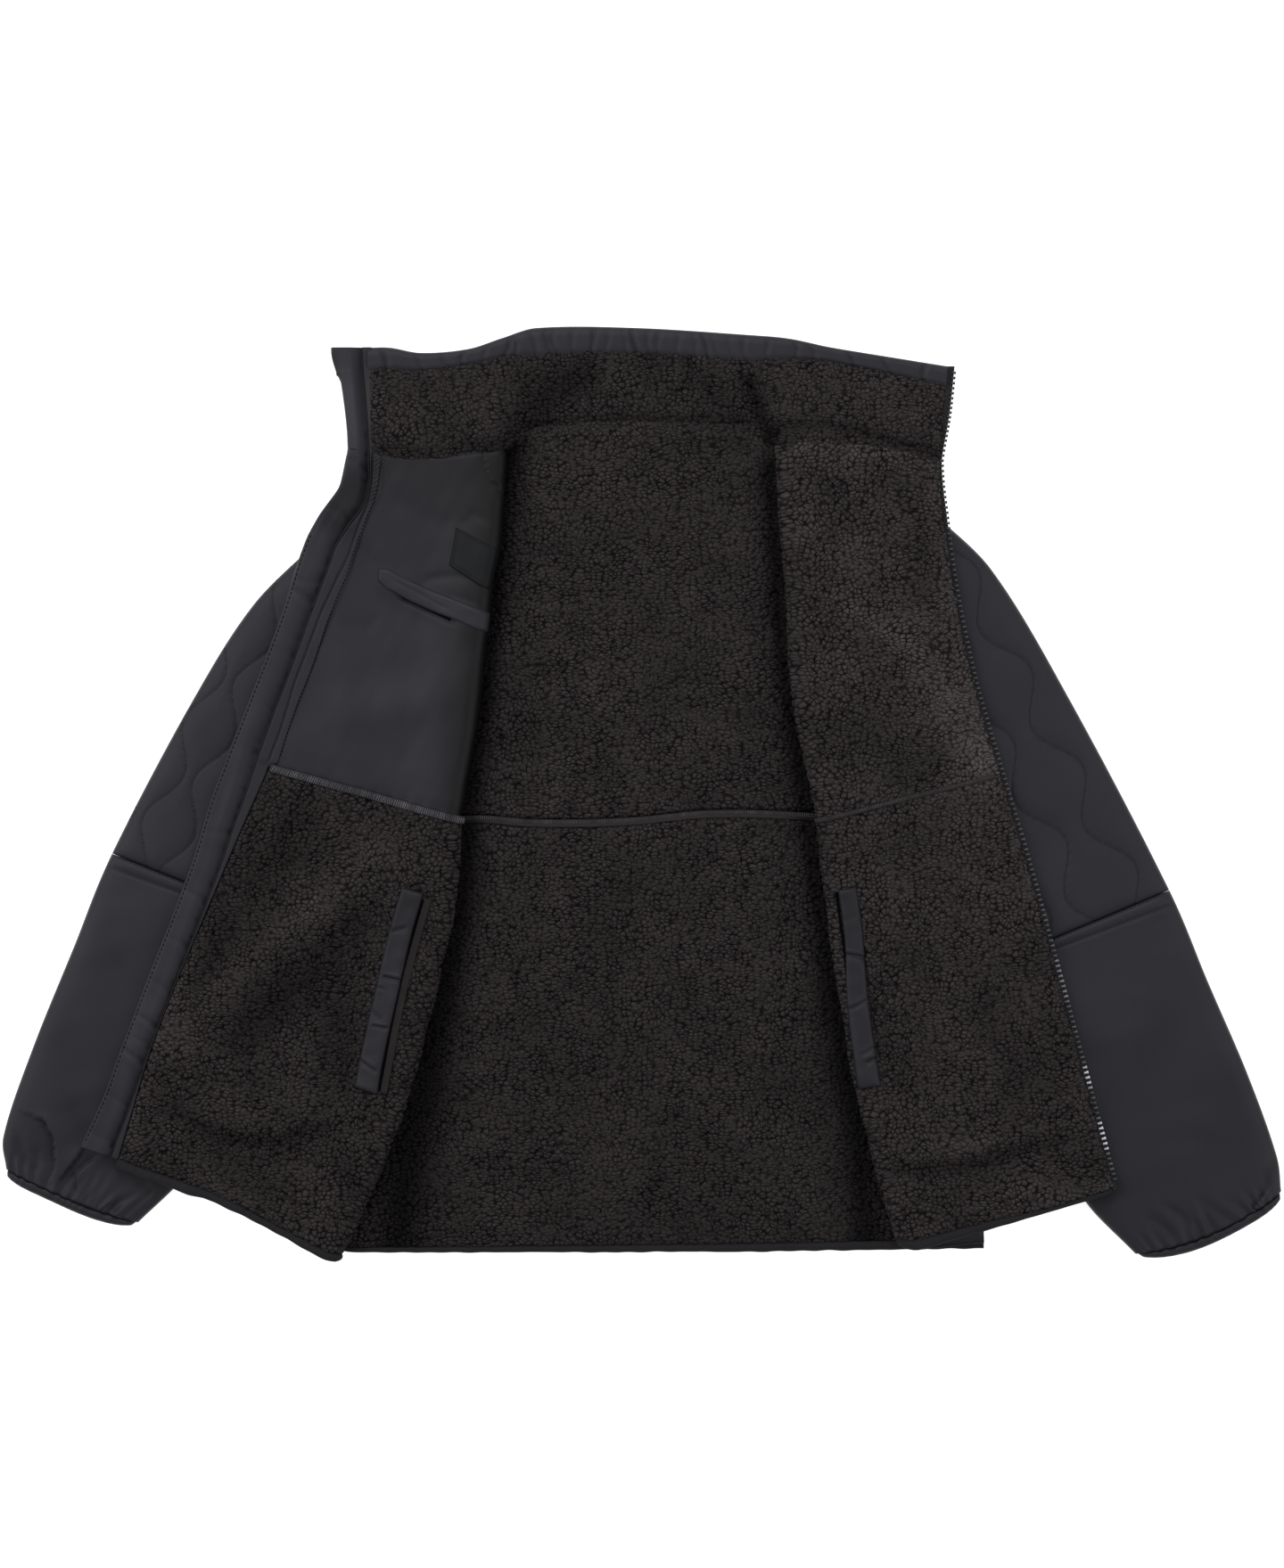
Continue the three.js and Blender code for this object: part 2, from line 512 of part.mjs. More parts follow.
function makeSleeve(table, side) {
  const centres = table.map((row) => flat(row.outer).lerp(flat(row.inner), 0.5));
  const places = lengths(centres);
  const outer = trackPoints(places, table.map((row) => row.outer));
  const inner = trackPoints(places, table.map((row) => row.inner));
  const high = track(places, table.map((row) => row.high));
  const elbow = places[ELBOW_ROW];
  const cuff = places[places.length - 1];

  const ring = (s, count, rise) => {
    const [O, I] = [outer(s), inner(s)];
    const across = I.clone().sub(O).normalize();
    const half = O.distanceTo(I) / 2;
    const middle = O.clone().lerp(I, 0.5);
    const H = high(s);
    const at = (x, z) => middle.clone().addScaledVector(across, x).setZ(z);
    const e = SLEEVE.edge;
    const top = Array.from({ length: count }, (_, k) => {
      const x = mix(-half + e, half - e, k / (count - 1));
      const crown = H - SLEEVE.crown * Math.abs(x / half) ** 6;
      return at(x, crown + rise(at(x, 0), s, x / half));
    });
    const end = SLEEVE.round;
    const right = [at(half - end, H * 0.66), at(half, H * 0.42), at(half - end, H * 0.16)];
    const low = [half - e, half * 0.35, -half * 0.35, -half + e].map((x) => at(x, 0));
    const left = [at(-half + end, H * 0.16), at(-half, H * 0.42), at(-half + end, H * 0.66)];
    return [...top, ...right, ...low, ...left];
  };
  const slit = (s, count, gap) => {
    const [O, I] = [outer(s), inner(s)];
    const across = I.clone().sub(O).normalize();
    const half = O.distanceTo(I) / 2 - SLEEVE.wall;
    const middle = O.clone().lerp(I, 0.5);
    const base = (high(s) - gap) / 2;
    const at = (x, z) => middle.clone().addScaledVector(across, x).setZ(z);
    const top = Array.from({ length: count }, (_, k) => {
      const x = mix(-half + 1, half - 1, k / (count - 1));
      return at(x, base + gap);
    });
    const ends = [[0.72, 0.4], [0.5, 0], [0.28, 0.4]]; // height in the slit, and how far in
    const right = ends.map(([t, into]) => at(half - into, base + gap * t));
    const low = [half - 1, half * 0.35, -half * 0.35, -half + 1].map((x) => at(x, base));
    const left = ends.toReversed().map(([t, into]) => at(-half + into, base + gap * t));
    return [...top, ...right, ...low, ...left];
  };
  const plain = () => 0;
  const quilted = (p, s) => {
    const fromSeam = Math.min(s, elbow - s, QUILT.groove) / QUILT.groove;
    return quiltRise(p, table, side) * Math.max(fromSeam, 0);
  };
  const gathered = (p, s, share) => {
    const near = ease(1 - (cuff - s) / GATHER.reach);
    return GATHER.rise * near * (0.5 + 0.5 * Math.cos(GATHER.waves * Math.PI * share));
  };
  const upperRows = subdivide([0, elbow - SEAM / 2], QUILT_STEP);
  const lowerRows = subdivide([elbow + SEAM / 2, cuff], SLEEVE_STEP);
  const rings = (rows, count, rise) => rows.map((s) => ring(s, count, rise));
  const slits = (rows, count) => rows.map((s) => slit(s, count, s < cuff ? SLEEVE.slit : SLEEVE.cuffSlit));
  const halves = (a, b) => [a, mix(a, b, 0.5), b];
  const upper = tube(`sleeve_${side}_upper`, rings(upperRows, TOP_POINTS.upper, quilted),
    slits(halves(upperRows[0], upperRows.at(-1)), TOP_POINTS.upper), "shell");
  const lower = tube(`sleeve_${side}_lower`, rings(lowerRows, TOP_POINTS.lower, gathered),
    slits([...halves(lowerRows[0], cuff - GATHER.reach), cuff], TOP_POINTS.lower), "shell");
  // The cuff's binding carries the last ring on along the arm.
  const along = centres[centres.length - 1].clone().sub(centres[centres.length - 2]).normalize();
  const shifted = (points, d) => points.map((p) => p.clone().addScaledVector(along, d));
  const binding = tube(`cuff_binding_${side}`,
    [SEAM, CUFF_BINDING].map((d) => shifted(ring(cuff, TOP_POINTS.lower, plain), d)),
    [SEAM, CUFF_BINDING].map((d) => shifted(slit(cuff, TOP_POINTS.lower, SLEEVE.cuffSlit), d)), "binding");
  return [upper, lower, binding];
}

// ---- the jacket -----------------------------------------------------------------------------------------
const jacket = new THREE.Group();
const back = makeBack();
const right = makeFront(RIGHT_FRONT, RIGHT_COLUMNS);
const left = makeFront(LEFT_FRONT, LEFT_COLUMNS);
const collar = makeCollar(right, left, back);

function addBack() {
  const { whole, lower, upper } = back;
  jacket.add(wall("back_shell", whole, SHELL_OUT, SHELL_IN, "shell"));
  jacket.add(wall("back_lining_lower", lower, LINING_IN, LINING_OUT, "fleece"));
  jacket.add(wall("back_lining_upper", upper, LINING_IN, LINING_OUT, "fleece"));
  const width = (c) => mix(...HEM_BINDING.back, BACK.across[c]);
  jacket.add(wall("hem_binding_back", beyond(whole, width), ...BOTH, "binding"));
}

function addFront(front, side, upperPaint) {
  const { seamRow, lastRow, lastCol } = front;
  jacket.add(wall(`front_${side}_shell`, front, SHELL_OUT, SHELL_IN, "shell"));
  const below = cut(front, [0, seamRow], [0, lastCol]);
  jacket.add(wall(`front_${side}_lining_lower`, below, LINING_IN, LINING_OUT, "fleece"));
  const above = cut(front, [seamRow + 1, lastRow], [0, lastCol]);
  jacket.add(wall(`front_${side}_lining_upper`, above, LINING_IN, LINING_OUT, upperPaint));
  jacket.add(wall(`hem_binding_${side}`, beyond(front, () => HEM_BINDING.fronts), ...BOTH, "binding"));
}

function addPocketWelt(front, side, cols) {
  const piece = cut(front, [front.rowAt("pocketLow"), front.rowAt("pocketHigh")], cols);
  const wide = cols[1] - cols[0];
  const high = (r, c) => ON_LINING + (c === 0 || c === wide ? WELT.edge : WELT.rise);
  jacket.add(wall(`pocket_welt_${side}`, piece, ON_LINING, wide > 1 ? high : ON_LINING + WELT.edge, "shell"));
}

function addChestWelt(front) {
  const rows = [front.rowAt("weltLow"), front.rowAt("weltHigh")];
  const fromFoldEdge = front.firstOver - ROLL_STEPS / 2;
  const piece = cut(front, rows, [fromFoldEdge, front.firstOver + RIGHT_COLUMNS.marks.length]);
  jacket.add(wall("chest_welt", piece, ON_LINING, ON_LINING + WELT.edge, "shell"));
}

function addPatch(front) {
  const rows = [front.rowAt("patchLow"), front.rowAt("patchHigh")];
  const piece = cut(front, rows, [front.firstOver, front.firstOver + 2]);
  jacket.add(wall("blank_patch", piece, ON_LINING, ON_LINING + PATCH_T, "patch"));
}

function addCollar() {
  const { rimRow, lastRow, lastCol } = collar;
  const lining = cut(collar, [0, rimRow], [0, lastCol]);
  jacket.add(wall("collar_lining", lining, LINING_IN, LINING_OUT, "fleece"));
  const gather = (c) => {
    const inMiddle = Math.abs(collar.grid[0][c].x) < RIM_GATHER.half;
    return inMiddle && c % 2 ? RIM_GATHER.rise : 0;
  };
  const high = (r, c) => (r > rimRow ? LINING_OUT - RIM_DROP - gather(c) : SHELL_IN);
  jacket.add(wall("collar_shell", collar, SHELL_OUT, high, "shell"));
}

function addRightEdge() {
  const stations = edgeStations(right, collar, RIGHT_FRONT, 0);
  const onFront = stations.slice(0, right.rows.length);
  const facing = strip(onFront, [() => 2 * SEAM, (st) => st.facing]);
  jacket.add(wall("front_facing_right", facing, LINING_IN, LINING_IN + FACING_T, "shell"));
  const tape = strip(stations, [(st) => st.facing + SEAM, (st) => st.facing + TAPE.hidden]);
  jacket.add(wall("zip_tape_right", tape, TAPE.low, TAPE.high, "tape"));
  const flap = strip(stations, [
    (st) => st.facing + SEAM,
    (st) => st.facing + TAPE.hidden + SEAM,
    (st) => st.facing + TAPE.hidden + FLAP.slope,
    (st) => mix(st.facing + TAPE.hidden, st.flap, FLAP.middle),
    (st) => st.flap,
  ]);
  const high = (r, c) => (c < 2 ? FLAP.under : FLAP.over);
  jacket.add(wall("storm_flap", flap, SHELL_OUT, high, "shell"));
}

function addLeftEdge() {
  const stations = edgeStations(left, collar, LEFT_FRONT, collar.lastCol);
  const tape = strip(stations, [() => SEAM, () => TAPE.shown]);
  jacket.add(wall("zip_tape_left", tape, TAPE.shownLow, TAPE.high, "tape"));
}

addBack();
addFront(right, "right", "shell");
addFront(left, "left", "fleece");
addPocketWelt(right, "right", [right.firstOver + 1, right.firstOver + 2]);
addPocketWelt(left, "left", [left.firstOver, left.firstOver + 1]);
addChestWelt(right);
addPatch(right);
addCollar();
addRightEdge();
addLeftEdge();
jacket.add(...makeSleeve(RIGHT_SLEEVE, "right"));
jacket.add(...makeSleeve(LEFT_SLEEVE, "left"));

// The reference point is the middle of the surface that the jacket lies on.
const extent = new THREE.Box3().setFromObject(jacket);
const centre = extent.getCenter(V(0, 0));
jacket.position.set(-centre.x, -centre.y, -extent.min.z);

export default jacket;
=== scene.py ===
import math

import bpy
import numpy as np
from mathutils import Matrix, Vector
from mathutils.bvhtree import BVHTree


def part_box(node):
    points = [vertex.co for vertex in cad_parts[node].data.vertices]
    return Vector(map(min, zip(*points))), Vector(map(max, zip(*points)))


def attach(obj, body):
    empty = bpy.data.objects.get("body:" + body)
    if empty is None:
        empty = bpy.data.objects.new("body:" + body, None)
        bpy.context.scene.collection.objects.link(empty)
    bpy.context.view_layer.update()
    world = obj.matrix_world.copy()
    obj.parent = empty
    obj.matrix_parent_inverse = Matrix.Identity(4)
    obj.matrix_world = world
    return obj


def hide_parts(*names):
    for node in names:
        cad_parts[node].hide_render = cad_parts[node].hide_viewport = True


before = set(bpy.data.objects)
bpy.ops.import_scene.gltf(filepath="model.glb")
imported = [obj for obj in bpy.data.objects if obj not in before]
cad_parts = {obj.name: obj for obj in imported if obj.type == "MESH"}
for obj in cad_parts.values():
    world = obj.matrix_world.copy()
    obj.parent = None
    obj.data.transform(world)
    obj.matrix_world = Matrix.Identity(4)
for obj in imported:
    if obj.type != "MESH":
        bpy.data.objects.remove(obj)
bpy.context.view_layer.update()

MM = 0.001
join = np.concatenate

# ---- cloths and heights, as in the solids ----
SEAM = 0.3
SHELL_IN = -0.15
SHELL_OUT = -2.15
LINING_IN = 0.15
LINING_OUT = 4.65
BACK_Z = 2.15
UNDER_Z = BACK_Z + 2 * LINING_OUT + SEAM
OVER_Z = UNDER_Z - 2 * SHELL_OUT + SEAM
ON_SLEEVE_Z = 18 + SEAM - SHELL_OUT
SIDE_RAMP = {"start": 14, "run": 26}
ROLL_R = 5.5
ROLL_R_NECK = 3
ROLL_EASE = 48
NECK_PINCH = 90

# ---- pattern tables ----
def table(columns, rows):
    """Rows with named columns. A row may leave out columns at its end."""
    return [dict(zip(columns.split(), row)) for row in rows]


RIGHT_FRONT = table("at side fold edge flap bow", [
    ("hem", (-277, -313), (-229, -356), (-399, -279), 26, 6),
    ("pocketLow", (-265, -221), (-180, -237), (-367, -177), 22),
    ("pocketHigh", (-245, -82), (-142, -82), (-309, -37), 24),
    ("seam", (-241, -27), (-137, -21), (-284, 20), 30),
    ("chest", (-242, 27), (-126, 51), (-255, 90), 33),
    ("weltLow", (-243.5, 82), (-118, 120), (-226, 170), 37),
    ("weltHigh", (-244, 97), (-116, 136), (-222, 184), 36),
    ("patchLow", (-244.4, 119), (-114, 156), (-216, 201), 35),
    ("patchHigh", (-245, 146), (-108, 187), (-206, 224), 27),
    ("neck", (-246, 194), (-103, 265), (-204, 260), 20, -4),
])
LEFT_FRONT = table("at side fold edge bow", [
    ("hem", (261, -341), (196, -350), (357, -303)),
    ("pocketLow", (256, -224), (163, -226), (330, -201)),
    ("pocketHigh", (242, -82), (139, -77), (289, -49)),
    ("seam", (235, -27), (133, -21), (270, 14)),
    ("chest", (230.4, 48), (116, 65), (247, 95)),
    ("shoulder", (225, 136), (107, 184), (230, 189)),
    ("neck", (220, 216), (101, 269), (227, 254), 6),
])
BACK_HEM = [(-277, -313), (-252, -337), (-229, -347), (-204, -348), (-82, -347), (88, -345), (261, -341)]
BACK_SEAM = [(-241, -27), (-129, -18), (-82, -21), (-14, -20), (54, -14), (126, -16), (235, -27)]
BACK_TOP = [
    (-246, 194), (-103, 265), (-86, 274), (-54, 279), (-3, 281), (54, 279), (86, 277), (101, 269), (220, 216),
]
BACK_NECK = slice(2, 7)  # the neck's own points in BACK_TOP
COLLAR = table("x top rim", [
    (-207, 341, 19),
    (-190, 341, 17),
    (-167, 337, 14),
    (-131, 340, 12),
    (-105, 348.5, 15),
    (-80, 356, 22),
    (-3, 356, 20),
    (82, 350.5, 20),
    (109, 348, 16),
    (139, 341.5, 11),
    (180, 334.5, 13),
    (231, 326, 16),
])
COLLAR_GATHERS = [
    -196, -170, -150, -138, -121, -104, -97, -82, -72, -66, -52, -38, -29, -14, -6, 4, 12, 27, 41, 49, 56, 68,
    79, 96, 118, 131, 160, 188, 214,
]
COLLAR_LEAN = {"right": 0.015, "left": 0.03}
COLLAR_SETTLE = 0.85
RIGHT_SLEEVE = table("outer inner high", [
    ((-246.7, 194), (-241.7, -27), 15),
    ((-297, 144), (-247, -46), 15),
    ((-344.5, 69), (-254, -72), 15),
    ((-405, -46), (-258, -104), 14),
    ((-434, -117), (-280, -163), 16),
    ((-466, -196), (-314, -228), 16),
    ((-488, -262), (-349, -292), 15),
    ((-486, -287), (-385, -328), 13),
])
LEFT_SLEEVE = table("outer inner high", [
    ((220.7, 216), (235.7, -27), 15),
    ((267, 171), (241, -46), 15),
    ((325.5, 74), (249, -80), 15),
    ((403, -74), (254, -136), 14),
    ((432, -143), (277, -187), 16),
    ((462.5, -214), (306, -245), 16),
    ((485, -277), (338, -311), 15),
    ((488.5, -304), (377, -352), 13),
])
CUFF_BOW = {"right": 3.0, "left": 8.5, "reach": 40}
ELBOW_ROW = 3
QUILT = {
    "puff": 0.9, "shoulder": 8.0, "groove": 0.9, "depth": 0.8,
    "right": {
        "through": (-319, 44), "runs": (-0.38, -0.925), "pitch": 25, "wave": 81, "swing": 8.5, "crest": 40,
    },
    "left": {
        "through": (327, 16), "runs": (0.47, -0.883), "pitch": 38, "wave": 85, "swing": 10.5, "crest": 0,
    },
}

# Large soft folds that stand up in the turned-back fronts, as in the solids.
FOLDS = table("start end rise wide", [
    ((-197, -75), (-354, -197), 5, 30),
    ((-320, -252), (-258, -264), 3.5, 14),
    ((177, -284), (320, -262), 3.5, 16),
    ((160, -150), (215, -60), 2.5, 26),
    ((170, 60), (200, 190), 2.5, 24),
    ((-150, 70), (-225, 60), 2.5, 18),
])
# Creases of single cloths: the path of each over the plan, how deep it is (a ridge where below 0), how
# wide, and with `ledge` the side that the cloth laps over (1 on the left of the path, -1 on the right).
FLEECE_CREASES = table("path deep wide ledge", [
    ([(-333, -255), (-300, -264), (-268, -264), (-240, -256)], 2.4, 7),
    ([(-345, -232), (-300, -238), (-262, -228)], -1.6, 9),
    ([(-318, -110), (-285, -140), (-240, -170)], 2.2, 22),
    ([(-250, -30), (-225, -75), (-215, -110)], 1.0, 9),
    ([(-360, -240), (-330, -215), (-320, -180)], 1.2, 9),
    ([(176, -282), (216, -287), (258, -281), (296, -268), (322, -260)], 2.6, 6),
    ([(190, -268), (240, -272), (300, -252)], -1.2, 8),
    ([(170, 250), (186, 232), (208, 226)], 1.4, 8),
    ([(128, 196), (160, 205), (196, 196)], 1.2, 9),
    ([(150, 20), (175, 60), (180, 110)], 1.2, 14),
    ([(200, -60), (215, -110), (218, -170)], 1.0, 12),
    ([(84, 332), (86, 306), (90, 286), (97, 268)], 3.4, 7),
    ([(72, 330), (74, 306), (80, 288)], -1.4, 7),
    ([(-82, 330), (-88, 300), (-99, 268)], 2.6, 14),
    ([(-60, 322), (-74, 296), (-84, 276)], 1.4, 9),
])
NYLON_CREASES = table("path deep wide ledge", [
    ([(-121, 262), (-117, 244), (-108, 226)], 1.5, 3.2, 1),
    ([(-172, 158), (-160, 164), (-140, 166), (-124, 162)], 1.3, 4),
    ([(-150, 152), (-134, 148), (-122, 142)], 0.9, 3),
    ([(-196, 232), (-170, 214), (-150, 206), (-130, 214)], 0.8, 8),
    ([(-226, 196), (-206, 178), (-190, 172)], 0.7, 6),
    ([(-232, 128), (-210, 128), (-196, 136)], 0.8, 6),
    ([(-150, 90), (-140, 50), (-146, 6)], 1.0, 10),
    ([(-238, 60), (-200, 30), (-170, 22)], 0.6, 12),
    ([(-140, 200), (-128, 212), (-116, 206)], 0.7, 4),
])
RIGHT_SLEEVE_CREASES = table("path deep wide ledge", [
    ([(-470, -244), (-456, -250), (-449, -264), (-447, -284), (-452, -296)], 3.4, 7, 1),
    ([(-424, -268), (-433, -280), (-444, -294), (-448, -302)], 3.0, 7, -1),
    ([(-414, -277), (-428, -287), (-437, -297)], 2.6, 6, 1),
    ([(-432, -290), (-431, -306)], 2.4, 4, 1),
    ([(-406, -312), (-415, -319)], 1.8, 3, -1),
    ([(-398, -306), (-404, -322)], 1.2, 3.4),
    ([(-478, -258), (-474, -276), (-466, -292)], 1.6, 4),
    ([(-463, -268), (-461, -282), (-464, -293)], 1.4, 3.4),
    ([(-440, -232), (-428, -250), (-420, -266)], 1.2, 9),
    ([(-412, -120), (-388, -140), (-372, -170)], 0.9, 12),
    ([(-450, -170), (-432, -200), (-426, -230)], 0.8, 14),
    ([(-384, -292), (-374, -312)], 1.2, 4),
    ([(-370, -276), (-396, -284)], 1.0, 5),
])
LEFT_SLEEVE_CREASES = table("path deep wide ledge", [
    ([(480, -300), (469, -316), (463, -327)], 2.4, 5, 1),
    ([(486, -276), (476, -292), (474, -306)], 1.6, 4),
    ([(410, -340), (396, -330), (384, -322)], 1.3, 3.5),
    ([(424, -336), (412, -322), (398, -314)], 1.2, 3.5),
    ([(442, -331), (434, -318), (424, -308)], 1.0, 3.5),
    ([(386, -103), (393, -96), (403, -95)], 0.9, 4),
    ([(410, -157), (386, -193), (366, -227)], 1.3, 16),
    ([(330, -170), (352, -220), (352, -262)], 0.9, 14),
    ([(440, -190), (446, -230), (438, -262)], 0.9, 12),
    ([(376, -270), (412, -262), (450, -270)], 0.8, 10),
    ([(330, -282), (352, -300), (378, -312)], 1.0, 7),
])
# Painted shade and light over each cloth: shadows beside folds, raised edges and seams, and lighter bands
# where the light catches.
# The path of each place, how much darker or lighter, and how far it reaches, as one distance or one for each
# point of the path.
BACK_PAINTED_SHADING = table("path amount wide", [
    ([(-103, 268), (-103, 250), (-110, 186), (-118, 95), (-130, 5), (-137, -86), (-155, -177),
      (-175, -267), (-187, -345)], -0.78, [20, 15, 14, 11, 12, 14, 19, 22, 22]),
    ([(97, 250), (101, 186), (107, 95), (122, 5), (135, -86), (150, -177), (165, -267), (172, -345)],
      -0.74, [9, 8, 8, 10, 11, 15, 16, 15]),
    ([(-20, 240), (-20, 60), (-30, -60)], 0.08, 70),
    ([(-150, -338), (60, -340), (240, -334)], -0.12, 10),
    ([(-86, 272), (-54, 276), (-3, 277), (54, 276), (84, 274)], 0.2, 3),
    ([(-66, 120), (-70, -150)], 0.08, 10),
    ([(-36, 200), (-40, -60)], 0.07, 8),
    ([(84, -60), (80, -300)], 0.07, 12),
])
COLLAR_PAINTED_SHADING = table("path amount wide", [
    ([(-114, 250), (-82, 292), (-46, 322)], -0.48, [12, 17, 15]),
    ([(82, 316), (91, 290), (103, 267)], -0.6, [6, 7, 7]),
    ([(34, 331), (56, 304), (74, 281)], -0.26, 7),
    ([(-36, 314), (-20, 286)], -0.16, 8),
    ([(-88, 282), (-54, 286), (-3, 287), (54, 286), (78, 284)], -0.34, 4),
    ([(-200, 262), (-160, 259), (-118, 266)], -0.32, 5),
    ([(96, 273), (112, 280), (143, 281), (178, 272), (203, 265), (226, 259)], -0.42, [6, 4, 4, 4, 4, 4]),
    ([(112, 322), (160, 307), (215, 290)], 0.16, 24),
    ([(-90, 346), (0, 350), (120, 340)], -0.14, 7),
])
RIGHT_FRONT_PAINTED_SHADING = table("path amount wide", [
    ([(-267, 5), (-311, -75), (-354, -150), (-394, -258)], 0.3, 8),
    ([(-270, -8), (-288, -36), (-313, -86), (-337, -141)], -0.36, [24, 24, 18, 10]),
    ([(-362, -196), (-308, -136), (-254, -90), (-199, -46)], 0.3, [12, 12, 13, 16]),
    ([(-308, -186), (-272, -150), (-218, -95)], -0.34, [18, 18, 12]),
    ([(-238, -141), (-228, -213)], -0.22, 18),
    ([(-336, -190), (-310, -231), (-286, -304), (-263, -331)], 0.16, 12),
    ([(-354, -240), (-320, -262), (-281, -267), (-250, -254)], -0.32, 6),
    ([(-330, -273), (-292, -280), (-262, -271)], -0.18, 5),
    ([(-360, -252), (-330, -288), (-300, -312)], 0.14, 9),
    ([(-258, -284), (-246, -310)], 0.24, 13),
    ([(-300, -290), (-280, -306)], -0.2, 9),
    ([(-222, -288), (-214, -330)], -0.3, 13),
    ([(-200, -40), (-150, -30)], 0.06, 16),
])
LEFT_FRONT_PAINTED_SHADING = table("path amount wide", [
    ([(150, 230), (190, 100), (225, -10)], 0.16, 70),
    ([(143, 238), (148, 220)], -0.2, 13),
    ([(205, 222), (214, 190), (213, 156)], -0.26, 13),
    ([(110, 262), (104, 204)], 0.14, 7),
    ([(118, 264), (150, 268), (190, 258), (222, 248)], 0.28, 7),
    ([(150, 145), (177, 130), (204, 109), (236, 68), (266, 28)], 0.34, [7, 8, 11, 17, 20]),
    ([(160, 52), (205, 15)], -0.2, 22),
    ([(228, 200), (242, 110), (262, 20)], 0.34, 26),
    ([(170, -60), (215, -140), (250, -180)], 0.12, 30),
    ([(268, -30), (290, -90)], 0.16, 22),
    ([(252, -168), (280, -200)], -0.16, 18),
    ([(178, -150), (186, -190)], -0.14, 14),
    ([(176, -284), (216, -289), (258, -283), (296, -270), (322, -262)], -0.26, 6),
    ([(200, -274), (260, -266)], 0.1, 6),
    ([(262, -312), (310, -300), (350, -302)], 0.26, 13),
    ([(281, -22), (331, -177), (362, -295)], 0.2, 6),
])
NYLON_PAINTED_SHADING = table("path amount wide", [
    ([(-190, 250), (-150, 250), (-110, 254)], -0.26, 24),
    ([(-205, 236), (-150, 232)], -0.22, 46),
    ([(-190, 180), (-150, 196), (-126, 216)], -0.12, 26),
    ([(-300, 20), (-230, 70), (-190, 60)], 0.05, 50),
    ([(-198, 154), (-172, 140), (-144, 128), (-122, 116)], -0.26, 7),
    ([(-262, 28), (-220, 18), (-160, -2)], -0.1, 10),
])
FLAP_PAINTED_SHADING = table("path amount wide", [
    ([(-232, 220), (-216, 236), (-204, 250)], -0.62, [15, 16, 8]),
    ([(-238, 206), (-226, 202)], -0.45, 8),
    ([(-237, 334), (-233, 314)], -0.5, 3),
    ([(-212, 330), (-208, 280), (-207, 250)], -0.2, 5),
])


# ---- small helpers ----
def mix(a, b, t):
    return a + (b - a) * t


def ease(t):
    t = np.clip(t, 0, 1)
    return t * t * (3 - 2 * t)


def hump(distance, wide):
    """From 1 in the middle down to 0 on both sides."""
    return np.exp(-((distance / wide) ** 2))


def unit(v):
    return v / np.maximum(np.linalg.norm(v, axis=-1, keepdims=True), 1e-9)


def lengths(points):
    """How far along a chain of points each of them lies."""
    steps = np.linalg.norm(np.diff(np.asarray(points, float), axis=0), axis=-1)
    return join([[0.0], np.cumsum(steps)])


def track(places, values):
    """Smooth curve through values (numbers or points) given at growing places."""
    places, values = np.asarray(places, float), np.asarray(values, float)
    n = len(places)
    before, after = np.maximum(np.arange(n) - 1, 0), np.minimum(np.arange(n) + 1, n - 1)
    run = (places[after] - places[before]).reshape((n,) + (1,) * (values.ndim - 1))
    slope = (values[after] - values[before]) / run

    def at(s):
        s = np.asarray(s, float)
        i = np.clip(np.searchsorted(places, s) - 1, 0, n - 2)
        span = places[i + 1] - places[i]
        t = np.clip((s - places[i]) / span, 0, 1)
        if values.ndim > 1:
            span, t = span[..., None], t[..., None]
        leave = t * (1 - t) ** 2 * span * slope[i]
        arrive = t * t * (t - 1) * span * slope[i + 1]
        return mix(values[i], values[i + 1], ease(t)) + leave + arrive

    return at


def column_of(table, key, default=0.0):
    return np.array([row.get(key, default) for row in table], float)


def steps(low, high, size):
    """Even places from low to high, no further apart than size."""
    return np.linspace(low, high, max(2, math.ceil((high - low) / size) + 1))


def from_path(p, path):
    """Distance of plan points from a path, below 0 on its right, and the share along it from 0 to 1."""
    path = np.array(path, float)
    far = lengths(path)
    near, share = np.full(p.shape[:-1], 1e9), np.zeros(p.shape[:-1])
    for k in range(len(path) - 1):
        step = path[k + 1] - path[k]
        away = p[..., :2] - path[k]
        t = np.clip((away @ step) / (step @ step), 0, 1)
        off = away - t[..., None] * step
        side = np.where(step[0] * away[..., 1] - step[1] * away[..., 0] < 0, -1.0, 1.0)
        gap = np.linalg.norm(off, axis=-1)
        closer = gap < np.abs(near)
        near = np.where(closer, side * gap, near)
        share = np.where(closer, (far[k] + t * (far[k + 1] - far[k])) / far[-1], share)
    return near, share


def creased(p, creases):
    """How much the creases lower the cloth at plan points."""
    total = np.zeros(p.shape[:-1])
    for c in creases:
        gap, share = from_path(p, c["path"])
        fade = 0.25 + 0.75 * ease(share / 0.3) * ease((1 - share) / 0.3)
        shape = hump(gap, c["wide"])
        if "ledge" in c:
            shape = np.where(gap * c["ledge"] > 0, shape * -0.45, np.exp(-np.abs(gap) / c["wide"]))
        total = total + c["deep"] * fade * shape
    return total


def painted_shading(p, tones):
    """Painted shade and light over a cloth's plan points, as a factor on its colour: below 1 where shade is
    painted, above 1 where light is.
    """
    total = np.ones(p.shape[:-1])
    for t in tones:
        gap, share = from_path(p, t["path"])
        wide = t["wide"]
        if isinstance(wide, list):
            far = lengths(np.array(t["path"], float))
            wide = np.interp(share, far / far[-1], wide)
        total = total * (1 + t["amount"] * hump(gap, wide))
    return total


def fold_rise(p):
    return sum(f["rise"] * hump(from_path(p, (f["start"], f["end"]))[0], f["wide"]) for f in FOLDS)


def rounded(distance, radius):
    """From 0 at an edge to 1 once the radius has been passed, along a quarter round."""
    return np.sqrt(1 - (1 - np.clip(distance / radius, 0, 1)) ** 2)


